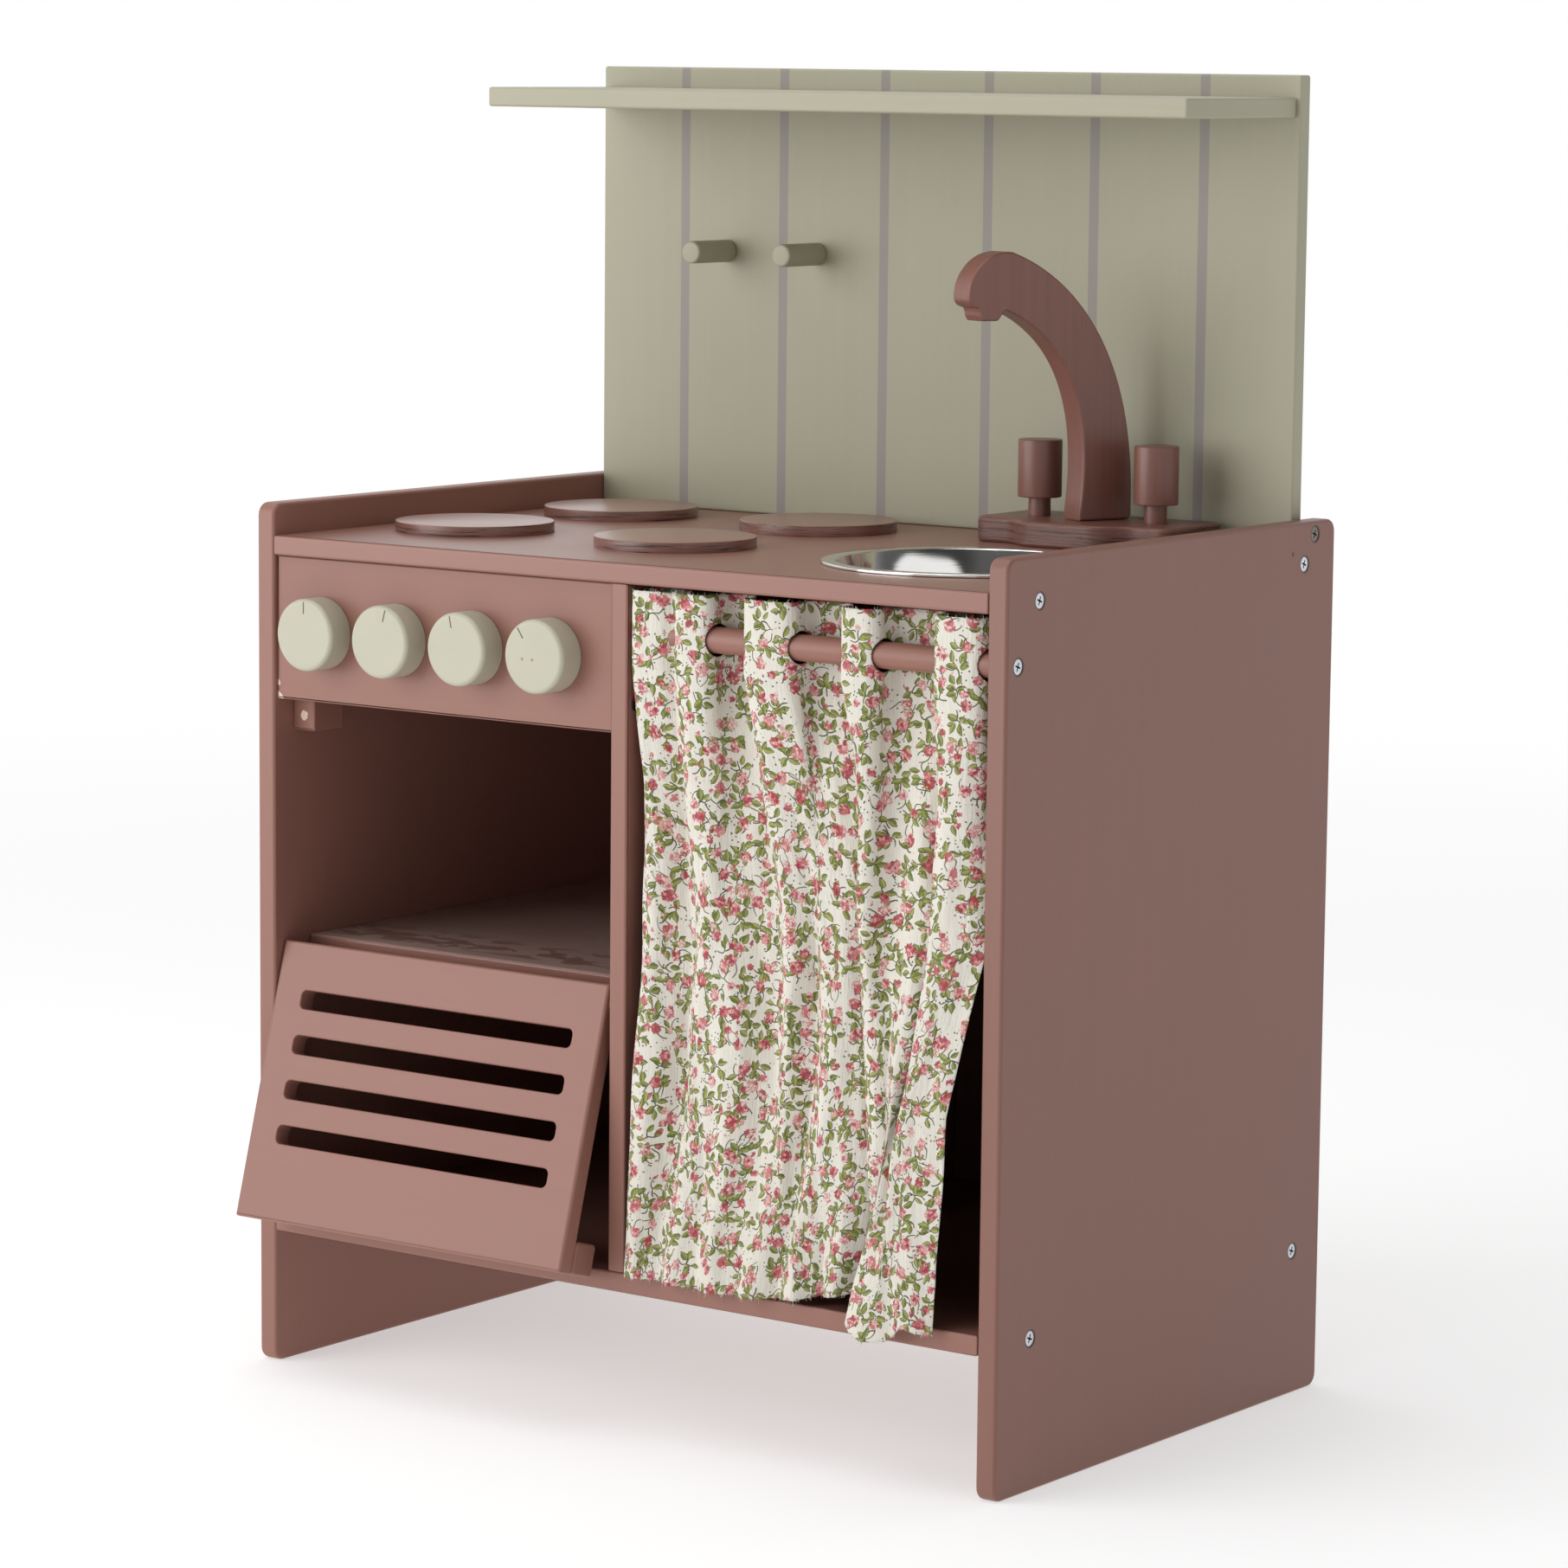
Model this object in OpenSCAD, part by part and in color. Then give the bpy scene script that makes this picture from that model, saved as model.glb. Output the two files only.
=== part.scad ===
// A toy kitchen: a wooden cabinet with an oven bay, a curtained bay, a sink, a hob and a splashback.
// Millimetres. +X to the right, +Y to the back, +Z up. The origin is on the floor, at the centre of
// the box that holds the whole toy with its oven door hanging open.
// Most modules work from the front plane, where the side panels' front edges lie at y = 0.

/* [Cabinet] */
// Width over the two side panels
width = 500; // [460:5:560]
// Depth of the side panels
depth = 321; // [315:1:360]
// Height of the side panels
side_h = 485; // [480:1:520]
// Thickness of the side panels
side_t = 12; // [10:1:14]
// Thickness of the worktop, bottom board and divider
board_t = 11; // [9:1:11]
// Underside of the bottom board above the floor
bottom_z = 75.5; // [60:0.5:80]
// Top of the worktop above the floor
worktop_top = 467.5; // [460:0.5:470]
// Corner radius of the side panels, seen from the side
side_r = 7; // [3:1:10]
// Left face of the divider, from the middle of the cabinet
divider_x = -1.5; // [-10:0.5:5]

/* [Splashback] */
// Height of the back panel's top edge
back_top = 725; // [680:1:760]
// Front face of the back panel, behind the front plane
back_y = 294.5; // [290:0.5:296]
// Thickness of the back panel
back_t = 10; // [8:1:12]
// How far the top shelf stands out
shelf_d = 111.5; // [80:0.5:130]
// Top face of the top shelf
shelf_top = 713; // [680:1:720]
// Diameter of the pegs
peg_d = 13; // [10:1:16]
// Length of the pegs
peg_l = 36.5; // [25:0.5:45]

/* [Oven] */
// Top face of the oven shelf
oven_shelf_top = 241; // [235:1:245]
// Thickness of the oven shelf
oven_shelf_t = 9; // [7:1:9]
// Front edge of the oven shelf, behind the front plane
oven_shelf_y = 28.5; // [26:0.5:40]
// Length of the oven door, from the hinged edge to the free edge
door_l = 156; // [140:1:156]
// Thickness of the oven door
door_t = 11; // [9:0.5:11]
// How far the open door leans out from plumb, in degrees
door_lean = 15.8; // [15:0.2:20]
// Depth of the door handle, out from the door
handle_d = 17.5; // [12:0.5:18]
// Height of the door handle, along the door
handle_h = 18; // [14:1:22]

/* [Knobs] */
// Diameter of the oven knobs
knob_d = 40; // [30:1:44]
// Depth of the oven knobs
knob_h = 16; // [12:1:20]
// Distance between the knobs
knob_pitch = 53.7; // [50:0.1:55]

/* [Hob and sink] */
// Diameter of the hob plates
hob_d = 89; // [70:1:92]
// Thickness of the hob plates
hob_t = 6; // [4:0.5:8]
// Diameter over the rim of the sink bowl
sink_d = 159; // [140:1:160]
// Depth of the sink bowl below the worktop
sink_depth = 46; // [35:1:60]

/* [Tap] */
// Thickness of the tap's base plate
tap_base_t = 14; // [12:0.5:18]
// Thickness of the spout
spout_t = 17; // [12:0.5:18]
// How far the spout is turned to the left, in degrees
spout_turn = 24; // [0:1:60]
// Distance from the spout's axis to each tap handle
tap_pitch = 38; // [36:1:40]

/* [Curtain] */
// Diameter of the curtain rod
rod_d = 14; // [10:1:15]
// Height of the curtain rod's centre
rod_z = 430; // [425:1:435]

/* [Hidden] */
$fn = 64;

// Colours
rose = "#B08778";
sage = "#B2AE92";
cream = "#DCD8C0";
wood = "#D9BE94";
zinc = "#C9CCD0";
ecru = "#E6DCCB";

// Cabinet, worked out from the driving sizes
inner = width / 2 - side_t;                 // inner face of a side panel, from the middle
worktop_z = worktop_top - board_t;          // underside of the worktop
bottom_top = bottom_z + board_t;            // top of the bottom board
divider_right = divider_x + board_t;        // right face of the divider
bay_h = worktop_z - bottom_top;             // clear height between the boards
lower_back_t = 7;
lower_back_y = depth - lower_back_t;        // front face of the lower back board
back_mid = back_y + back_t / 2;
panel_y = 2.7;                              // the knob panel sits back by this much
panel_t = 11;
panel_z = 376.5;                            // underside of the knob panel
knob_z = 415.3;
knob_x0 = -204.4;                           // centre of the first knob
knob_n = 4;
run = 0.05;                                 // radial clearance of a shaft in its bore
gap = 0.3;                                  // clearance between faces that slide

// Oven door. Its own frame has the hinge axis at the origin, and the door hangs down along -Z.
door_x = -inner + 1;                        // left edge
door_w = 230.5;
pivot_y = 9.9;
pivot_z = 229.5;
pivot_edge = 10;                            // from the hinged edge to the hinge axis
pivot_r = 3;
pivot_in_wall = 7;
pivot_in_door = 14;
slot_n = 4;
slot_w = 192;
slot_h = 10.6;
slot_r = 3;
slot_first = 26.5;                          // from the hinged edge to the first slot
slot_pitch = 25.3;

// Pegs
peg_x = [-146.1, -81.8];
peg_z = 619.4;

// Stop block and its magnet
block_w = 15.7;
block_y = 15.7;                             // its front, just behind the shut door
block_d = 25;
block_z = 358;
block_h = 35;
magnet_r = 3;
magnet_l = 8;

// The open door's lower front edge is the frontmost point of the toy
door_reach = (door_l - pivot_edge) * sin(door_lean) + door_t / 2 * cos(door_lean) - pivot_y;
front_y = -(depth - door_reach) / 2;        // the front plane, in the toy's own frame

// Hob, sink and tap
hob_x = [-174, -33];
hob_y = [97, 230];
sink_x = 145;
sink_y = 121;
sink_wall = 1;
sink_hole_r = sink_d / 2 - 5.5;
tap_x = 134;
tap_y = 260.5;
tap_top = worktop_top + tap_base_t;
cap_d = 24.5;
cap_h = 32;
cap_z = 10;                                 // gap between the base plate and the caps
stem_r = 6.2;
stem_in_cap = 14;
collar_r = 9;
collar_h = 3;
spout_pivot_r = 5;
spout_pivot_in = 18;
spout_foot = 17;                            // half the depth of the spout's foot

// Curtain
rod_y = 10.6;
rod_r = rod_d / 2;
curtain_left = 13;
curtain_split = 206;
curtain_right = 233;
curtain_top = 454;
curtain_bore = rod_r + 0.8;

// Countersunk wood screw: head radius, shank radius and length
screw_head = 4;
screw_shank = 1.9;
screw_l = 32;
screw_cone = screw_head - screw_shank;      // a right-angled countersink
screw_sink = 0.4;                           // how far a head is sunk below the face
cross_l = 4.6;                              // the cross-shaped recess in a head
cross_w = 0.9;
cross_d = 1.2;
worktop_screw_l = 20;
dowel_r = 3;
dowel_l = 19;
handle_dowel_l = 17;
handle_dowel_in = 7;                        // how far it goes into the door
nail_r = 0.9;
nail_l = 16;
nail_head_r = 2.2;
nail_head_t = 0.8;

// Oven knobs
knob_turn = [0, 15, -12, -35];              // how far each pointer is turned clockwise, from the front
knob_edge = 2.5;
spindle_r = 4;
spindle_in = 9;                             // how far a spindle goes into its knob
spindle_collar_r = 8;
spindle_collar_h = 4;

// Tap's base plate, from the tap's axis: straight ends, with a bow in the front edge
tap_half = 64;
tap_back = 30.5;
tap_front = -27.5;
tap_bow = -39;
tap_corner = 8;

// Hanging cloth, seen from the side: from the rod to just in front of the bottom board
cloth_back = 20;
cloth_front = 1;
cloth_low_back = -1.3;
cloth_low_front = -12;
cloth_hem = 82;
flap_x = 158;                               // where the longer flap starts
flap_hem = 76;
edge_hem = 235;                             // the free edge is drawn up this high

// Point at t on the cubic curve through a and d with handles b and c
function bez(a, b, c, d, t) =
    pow(1 - t, 3) * a + 3 * pow(1 - t, 2) * t * b + 3 * (1 - t) * t * t * c + pow(t, 3) * d;
function curve(a, b, c, d, steps) = [for (i = [0:steps - 1]) bez(a, b, c, d, i / steps)];

module from_front() {
    translate([0, front_y, 0]) children();
}

// A box given by two opposite corners
module block(low, high) {
    translate(low) cube(high - low);
}

// Rectangle with rounded corners, by its lower corner and its size
module round_rect(size, r) {
    translate([r, 0]) square([size[0] - 2 * r, size[1]]);
    translate([0, r]) square([size[0], size[1] - 2 * r]);
    for (x = [r, size[0] - r], y = [r, size[1] - r]) translate([x, y]) circle(r);
}

// Screw along +Z with its flat head just below z = 0, and with a tapered tip
module screw_solid(l, extra = 0) {
    translate([0, 0, screw_sink]) rotate_extrude() polygon([
        [0, 0], [screw_head + extra, 0], [screw_shank + extra, screw_cone],
        [screw_shank + extra, l - 4], [0.3, l + extra], [0, l + extra]
    ]);
}

module screw(l) {
    difference() {
        screw_solid(l);
        for (a = [0, 90]) rotate([0, 0, a + 20])
            translate([-cross_l / 2, -cross_w / 2, screw_sink - 1]) cube([cross_l, cross_w, cross_d + 1]);
    }
}

module screw_hole(l) {
    screw_solid(l, run);
    translate([0, 0, -2]) cylinder(h = 2.01 + screw_sink, r = screw_head + run);
}

// Where the screws enter the right side, as [y, z]
right_points = [
    [29.5, worktop_z + board_t / 2], [289, worktop_z + board_t / 2],
    [31, bottom_z + board_t / 2], [292, bottom_z + board_t / 2],
    [back_mid, 477.7], [rod_y, rod_z]
];
left_points = [
    [29.5, worktop_z + board_t / 2], [289, worktop_z + board_t / 2],
    [31, bottom_z + board_t / 2], [292, bottom_z + board_t / 2],
    [back_mid, 477.7], [panel_y + panel_t / 2, 437],
    [62, oven_shelf_top - oven_shelf_t / 2], [270, oven_shelf_top - oven_shelf_t / 2]
];
// Through the divider, from the curtained bay into the knob panel and the oven shelf
divider_points = [
    [panel_y + panel_t / 2, 393],
    [62, oven_shelf_top - oven_shelf_t / 2], [270, oven_shelf_top - oven_shelf_t / 2]
];

// Places children at the left side's screws, pointing inwards
module at_left() {
    for (p = left_points) translate([-width / 2, p[0], p[1]]) rotate([0, 90, 0]) children();
}
module at_right() {
    for (p = right_points) translate([width / 2, p[0], p[1]]) rotate([0, -90, 0]) children();
}
module at_divider() {
    for (p = divider_points) translate([divider_right, p[0], p[1]]) rotate([0, -90, 0]) children();
}
// The rod's other end, from the oven bay
module at_rod_end() {
    translate([divider_x, rod_y, rod_z]) rotate([0, 90, 0]) children();
}
// Up through the bottom board into the divider
module at_bottom() {
    for (y = [60, 260]) translate([divider_x + board_t / 2, y, bottom_z]) children();
}
// From behind, through the back panel into the top shelf and the pegs
module at_rear() {
    for (x = [-180, 0, 180])
        translate([x, back_y + back_t, shelf_top - board_t / 2]) rotate([90, 0, 0]) children();
    for (x = peg_x)
        translate([x, back_y + back_t, peg_z]) rotate([90, 0, 0]) children();
}
// Up through the worktop into the back panel and the tap's base plate
module at_worktop() {
    for (x = [-160, -50, 50]) translate([x, back_mid, worktop_z]) children();
    for (x = [-18, 18]) translate([tap_x + x, tap_y + 17, worktop_z]) children();
}
// Nails from behind, through the lower back board into the divider and the oven shelf
module at_nails() {
    for (z = [120, 180, 340, 410])
        translate([divider_x + board_t / 2, depth, z]) rotate([90, 0, 0]) children();
    for (x = [-190, -60])
        translate([x, depth, oven_shelf_top - oven_shelf_t / 2]) rotate([90, 0, 0]) children();
}
module at_dowels() {
    for (y = [70, 250]) translate([divider_x + board_t / 2, y, worktop_z - 12]) children();
}

// Side panel, with its outer face on the left
module side_panel() {
    rotate([90, 0, 90]) linear_extrude(side_t) round_rect([depth, side_h], side_r);
}

module side_panel_left() {
    color(rose) from_front() difference() {
        translate([-width / 2, 0, 0]) side_panel();
        at_left() screw_hole(screw_l);
        translate([-inner - pivot_in_wall, pivot_y, pivot_z]) rotate([0, 90, 0])
            cylinder(h = pivot_in_wall + 1, r = pivot_r);
    }
}

module side_panel_right() {
    color(rose) from_front() difference() {
        translate([inner, 0, 0]) side_panel();
        at_right() screw_hole(screw_l);
    }
}

// Worktop, with the sink's cut-out
module worktop() {
    color(rose) from_front() difference() {
        block([-inner, 0, worktop_z], [inner, depth, worktop_top]);
        translate([sink_x, sink_y, worktop_z - 1]) cylinder(h = board_t + 2, r = sink_hole_r, $fn = 128);
        at_left() screw_hole(screw_l);
        at_right() screw_hole(screw_l);
        at_worktop() screw_hole(worktop_screw_l);
        at_dowels() cylinder(h = dowel_l, r = dowel_r);
    }
}

module bottom_board() {
    color(rose) from_front() difference() {
        block([-inner, 0, bottom_z], [inner, depth, bottom_top]);
        at_left() screw_hole(screw_l);
        at_right() screw_hole(screw_l);
        at_bottom() screw_hole(screw_l);
    }
}

module divider() {
    color(rose) from_front() difference() {
        block([divider_x, 0, bottom_top], [divider_right, lower_back_y, worktop_z]);
        at_divider() screw_hole(screw_l);
        at_rod_end() screw_hole(screw_l);
        at_bottom() screw_hole(screw_l);
        at_dowels() cylinder(h = dowel_l, r = dowel_r);
        at_nails() nail_hole();
        translate([divider_x - 1, pivot_y, pivot_z]) rotate([0, 90, 0])
            cylinder(h = pivot_in_wall + 1, r = pivot_r);
    }
}

module oven_shelf() {
    color(rose) from_front() difference() {
        translate([-inner, oven_shelf_y, oven_shelf_top - oven_shelf_t]) linear_extrude(oven_shelf_t)
            difference() {
                square([divider_x + inner, lower_back_y - oven_shelf_y]);
                // the two front corners are eased
                for (x = [0, divider_x + inner]) translate([x, 0]) rotate(45) square(4, center = true);
            }
        at_left() screw_hole(screw_l);
        at_divider() screw_hole(screw_l);
        at_nails() nail_hole();
    }
}

module lower_back_board() {
    color(rose) from_front() difference() {
        block([-inner, lower_back_y, bottom_top], [inner, depth, worktop_z]);
        at_nails() nail_hole();
    }
}

module back_panel() {
    color(sage) from_front() difference() {
        block([-inner, back_y, worktop_top], [inner, back_y + back_t, back_top]);
        at_left() screw_hole(screw_l);
        at_right() screw_hole(screw_l);
        at_rear() screw_hole(screw_l);
        at_worktop() screw_hole(worktop_screw_l);
    }
}

module top_shelf() {
    shelf_half = inner - 2.5;
    color(sage) from_front() difference() {
        block([-shelf_half, back_y - shelf_d, shelf_top - board_t], [shelf_half, back_y, shelf_top]);
        at_rear() screw_hole(screw_l);
    }
}

// Peg with an eased front end
module peg(x) {
    color(sage) from_front() difference() {
        translate([x, back_y, peg_z]) rotate([90, 0, 0]) rotate_extrude() polygon([
            [0, 0], [peg_d / 2, 0], [peg_d / 2, peg_l - 1], [peg_d / 2 - 1, peg_l], [0, peg_l]
        ]);
        at_rear() screw_hole(screw_l);
    }
}
module peg_left() { peg(peg_x[0]); }
module peg_right() { peg(peg_x[1]); }

module knob_panel() {
    color(rose) from_front() difference() {
        block([-inner, panel_y, panel_z], [divider_x, panel_y + panel_t, worktop_z]);
        at_left() screw_hole(screw_l);
        at_divider() screw_hole(screw_l);
        for (i = [0:knob_n - 1]) at_knob(i) translate([0, 0, -panel_t - 1])
            cylinder(h = panel_t + 2, r = spindle_r + run);
    }
}

// Batten on the left side that the closed door stops against
module stop_block() {
    color(rose) from_front() difference() {
        block([-inner, block_y, block_z], [-inner + block_w, block_y + block_d, block_z + block_h]);
        at_magnet() cylinder(h = magnet_l + 1, r = magnet_r);
    }
}
module at_magnet() {
    translate([-inner + 6, block_y + magnet_l, block_z + 9.5]) rotate([90, 0, 0]) children();
}
module door_magnet() {
    color(zinc) from_front() at_magnet() cylinder(h = magnet_l, r = magnet_r);
}

// Places children in the door's own frame: hinge axis at the origin, the door hanging along -Z
module door_frame() {
    from_front() translate([0, pivot_y, pivot_z]) rotate([-door_lean, 0, 0]) children();
}

// Two pins, pressed into the side panel and the divider, that the door turns on
module door_pivots() {
    door_right = door_x + door_w;
    color(wood) from_front() {
        translate([-inner - pivot_in_wall, pivot_y, pivot_z]) rotate([0, 90, 0])
            cylinder(h = pivot_in_wall + 1 + pivot_in_door, r = pivot_r);
        translate([door_right - pivot_in_door, pivot_y, pivot_z]) rotate([0, 90, 0])
            cylinder(h = divider_x + pivot_in_wall - door_right + pivot_in_door, r = pivot_r);
    }
}

// Door, its hinged edge at the top while it hangs open
module oven_door() {
    door_right = door_x + door_w;
    slot_x = door_x + (door_w - slot_w) / 2;
    color(rose) door_frame() difference() {
        block([door_x, -door_t / 2, pivot_edge - door_l], [door_right, door_t / 2, pivot_edge]);
        for (i = [0:slot_n - 1])
            translate([slot_x, door_t / 2 + 1, pivot_edge - slot_first - i * slot_pitch - slot_h])
                rotate([90, 0, 0]) linear_extrude(door_t + 2) round_rect([slot_w, slot_h], slot_r);
        for (x = [door_x - 1, door_right - pivot_in_door - 1])
            translate([x, 0, 0]) rotate([0, 90, 0]) cylinder(h = pivot_in_door + 2, r = pivot_r + run);
        at_handle_dowels() cylinder(h = handle_dowel_in, r = dowel_r);
    }
}

// Batten glued along the door's free edge, on the face that is outside when the door is shut
module door_handle() {
    color(rose) door_frame() difference() {
        translate([door_x, door_t / 2, pivot_edge - door_l]) rotate([90, 0, 90])
            linear_extrude(door_w) round_rect([handle_d, handle_h], 2.5);
        at_handle_dowels() cylinder(h = handle_dowel_l, r = dowel_r);
    }
}
module at_handle_dowels() {
    for (x = [40, door_w - 40])
        translate([door_x + x, door_t / 2 - handle_dowel_in, pivot_edge - door_l + handle_h / 2])
            rotate([-90, 0, 0]) children();
}
module handle_dowels() {
    color(wood) door_frame() at_handle_dowels() cylinder(h = handle_dowel_l, r = dowel_r);
}

// Places children at knob i, with +Z out of the panel's front face
module at_knob(i) {
    translate([knob_x0 + i * knob_pitch, panel_y, knob_z]) rotate([90, 0, 0]) children();
}

module knob(i) {
    r = knob_d / 2;
    color(cream) from_front() at_knob(i) rotate([0, 0, -knob_turn[i]]) translate([0, 0, gap]) difference() {
        rotate_extrude($fn = 128) {
            square([r - knob_edge, knob_h]);
            square([r, knob_h - knob_edge]);
            translate([r - knob_edge, knob_h - knob_edge]) intersection() {
                circle(knob_edge, $fn = 48);
                square(knob_edge);
            }
        }
        translate([0, 0, -1]) cylinder(h = spindle_in + 1, r = spindle_r);
        // the engraved pointer line
        translate([-0.4, r - 8.2, knob_h - 0.4]) cube([0.8, 6.6, 1]);
    }
}
module knob_1() { knob(0); }
module knob_2() { knob(1); }
module knob_3() { knob(2); }
module knob_4() { knob(3); }

// Dowel that carries a knob, with a collar behind the panel
module knob_spindle(i) {
    color(wood) from_front() at_knob(i) {
        translate([0, 0, -panel_t - 5]) cylinder(h = panel_t + 5 + gap + spindle_in, r = spindle_r);
        translate([0, 0, -panel_t - gap - spindle_collar_h])
            cylinder(h = spindle_collar_h, r = spindle_collar_r);
    }
}
module knob_spindle_1() { knob_spindle(0); }
module knob_spindle_2() { knob_spindle(1); }
module knob_spindle_3() { knob_spindle(2); }
module knob_spindle_4() { knob_spindle(3); }

module hob(x, y) {
    edge = 1;
    color(rose) from_front() translate([x, y, worktop_top]) rotate_extrude($fn = 128) polygon([
        [0, 0], [hob_d / 2, 0], [hob_d / 2, hob_t - edge], [hob_d / 2 - edge, hob_t], [0, hob_t]
    ]);
}
module hob_front_left() { hob(hob_x[0], hob_y[0]); }
module hob_front_right() { hob(hob_x[1], hob_y[0]); }
module hob_rear_left() { hob(hob_x[0], hob_y[1]); }
module hob_rear_right() { hob(hob_x[1], hob_y[1]); }

// Half section of the bowl's inside, from the middle of its floor out to the rim
function bowl_line(off) = concat(
    [[0, -sink_depth - off]],
    [for (a = [0:10:90]) [40 + (22 + off) * sin(a), -sink_depth + 22 - (22 + off) * cos(a)]],
    [[sink_hole_r - 6 + off, -6]]
);

// Drop-in metal bowl with a flat rim that is turned down at its edge
module sink_bowl() {
    rim = sink_d / 2;
    outside = bowl_line(sink_wall);
    last = len(outside) - 1;
    color(zinc) from_front() translate([sink_x, sink_y, worktop_top + gap]) rotate_extrude($fn = 128)
        polygon(concat(
            [for (i = [0:last]) outside[last - i]],
            bowl_line(0),
            [[sink_hole_r - 3, 1], [sink_hole_r - 1.5, 1.6]],
            [[rim - 1, 1.6], [rim, 0.8], [rim, 0], [sink_hole_r - 1, 0]]
        ));
}

module tap_base() {
    color(rose) from_front() translate([tap_x, tap_y, worktop_top]) difference() {
        linear_extrude(tap_base_t) {
            translate([-tap_half, tap_front]) round_rect([2 * tap_half, tap_back - tap_front], tap_corner);
            polygon(concat(
                curve([-44, tap_front], [-32, tap_front], [-30, tap_bow], [-16, tap_bow], 12),
                curve([16, tap_bow], [30, tap_bow], [32, tap_front], [44, tap_front], 12),
                [[44, tap_front], [44, 0], [-44, 0]]
            ));
        }
        for (x = [-tap_pitch, tap_pitch]) translate([x, 0, 0]) {
            translate([0, 0, -1]) cylinder(h = tap_base_t + 2, r = stem_r + run);
            translate([0, 0, -1]) cylinder(h = collar_h + 1 + 2 * gap, r = collar_r + gap);
        }
        translate([0, 0, -1]) cylinder(h = tap_base_t + 2, r = spout_pivot_r + run);
        translate([0, 0, -1]) cylinder(h = collar_h + 1 + 2 * gap, r = collar_r + gap);
        translate([-tap_x, -tap_y, -worktop_top]) at_worktop() screw_hole(worktop_screw_l);
    }
}

// Side view of the spout as [distance back from its axis, height above the base plate]
spout_outline = concat(
    [[-spout_foot, 2], [-spout_foot + 0.5, 0], [spout_foot - 2, 0], [spout_foot, 2]],
    curve([spout_foot, 12], [spout_foot, 92], [-21, 133], [-62, 147], 22),
    curve([-62, 147], [-78, 149], [-90, 136], [-90, 123], 12),
    curve([-90, 123], [-90, 120], [-88, 117.5], [-84, 117], 6),
    curve([-84, 117], [-82.5, 115], [-83, 113], [-82, 110.5], 4),
    [[-81, 110], [-71.5, 110], [-70, 111]],
    curve([-68, 114], [-67, 115.5], [-66.5, 115.5], [-65.5, 115.5], 3),
    curve([-65.5, 115.5], [-22, 98.5], [-9, 57], [-spout_foot, 2], 22)
);

module at_spout() {
    from_front() translate([tap_x, tap_y, tap_top + gap]) rotate([0, 0, -spout_turn]) children();
}

module tap_spout() {
    color(rose) at_spout() difference() {
        translate([-spout_t / 2, 0, 0]) rotate([90, 0, 90]) linear_extrude(spout_t) polygon(spout_outline);
        translate([0, 0, -1]) cylinder(h = spout_pivot_in + 1, r = spout_pivot_r);
    }
}

// Turning pin with a collar let into the underside of the base plate
module collared_pin(r, top) {
    translate([0, 0, -tap_base_t]) cylinder(h = tap_base_t + top, r = r);
    translate([0, 0, -tap_base_t]) cylinder(h = collar_h, r = collar_r);
}

module spout_pivot() {
    color(wood) at_spout() collared_pin(spout_pivot_r, spout_pivot_in);
}

// Places children at a tap handle's axis, on top of the base plate
module at_tap(side) {
    from_front() translate([tap_x + side * tap_pitch, tap_y, tap_top + gap]) children();
}

module tap_handle(side) {
    edge = 1;
    color(rose) at_tap(side) translate([0, 0, cap_z]) difference() {
        rotate_extrude() polygon([
            [0, 0], [cap_d / 2 - edge, 0], [cap_d / 2, edge],
            [cap_d / 2, cap_h - edge], [cap_d / 2 - edge, cap_h], [0, cap_h]
        ]);
        translate([0, 0, -1]) cylinder(h = stem_in_cap + 1, r = stem_r);
    }
}
module tap_handle_left() { tap_handle(-1); }
module tap_handle_right() { tap_handle(1); }

module tap_stem(side) {
    color(rose) at_tap(side) collared_pin(stem_r, cap_z + stem_in_cap);
}
module tap_stem_left() { tap_stem(-1); }
module tap_stem_right() { tap_stem(1); }

module curtain_rod() {
    color(rose) from_front() difference() {
        translate([divider_right, rod_y, rod_z]) rotate([0, 90, 0])
            cylinder(h = inner - divider_right, r = rod_r);
        at_right() screw_hole(screw_l);
        at_rod_end() screw_hole(screw_l);
    }
}

// The space that the folds of the hanging cloth fill, from x0 to x1 and down to low
module cloth_slab(x0, x1, low) {
    difference() {
        intersection() {
            translate([x0, 0, 0]) rotate([90, 0, 90]) linear_extrude(x1 - x0) polygon([
                [cloth_low_front, flap_hem], [cloth_low_back, flap_hem], [cloth_low_back, bottom_top + 4],
                [cloth_back, rod_z - 5], [cloth_back, curtain_top],
                [cloth_front, curtain_top], [cloth_front, rod_z - 5], [cloth_low_front, bottom_top + 4]
            ]);
            block([x0, -50, low], [x1, 50, curtain_top]);
        }
        translate([x0 - 1, rod_y, rod_z]) rotate([0, 90, 0]) cylinder(h = x1 - x0 + 2, r = curtain_bore);
    }
}

module curtain_cloth() {
    color(ecru) from_front() {
        cloth_slab(curtain_left, flap_x, cloth_hem);
        cloth_slab(flap_x, curtain_split, flap_hem);
    }
}

// The free edge of the curtain, drawn along the rod by hand
module curtain_edge() {
    color(ecru) from_front() cloth_slab(curtain_split + 0.5, curtain_right, edge_hem);
}

module screws_left() {
    color(zinc) from_front() at_left() screw(screw_l);
}
module screws_right() {
    color(zinc) from_front() at_right() screw(screw_l);
}
module divider_screws() {
    color(zinc) from_front() {
        at_divider() screw(screw_l);
        at_rod_end() screw(screw_l);
    }
}
module bottom_screws() {
    color(zinc) from_front() at_bottom() screw(screw_l);
}
module rear_screws() {
    color(zinc) from_front() at_rear() screw(screw_l);
}
module worktop_screws() {
    color(zinc) from_front() at_worktop() screw(worktop_screw_l);
}

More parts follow.
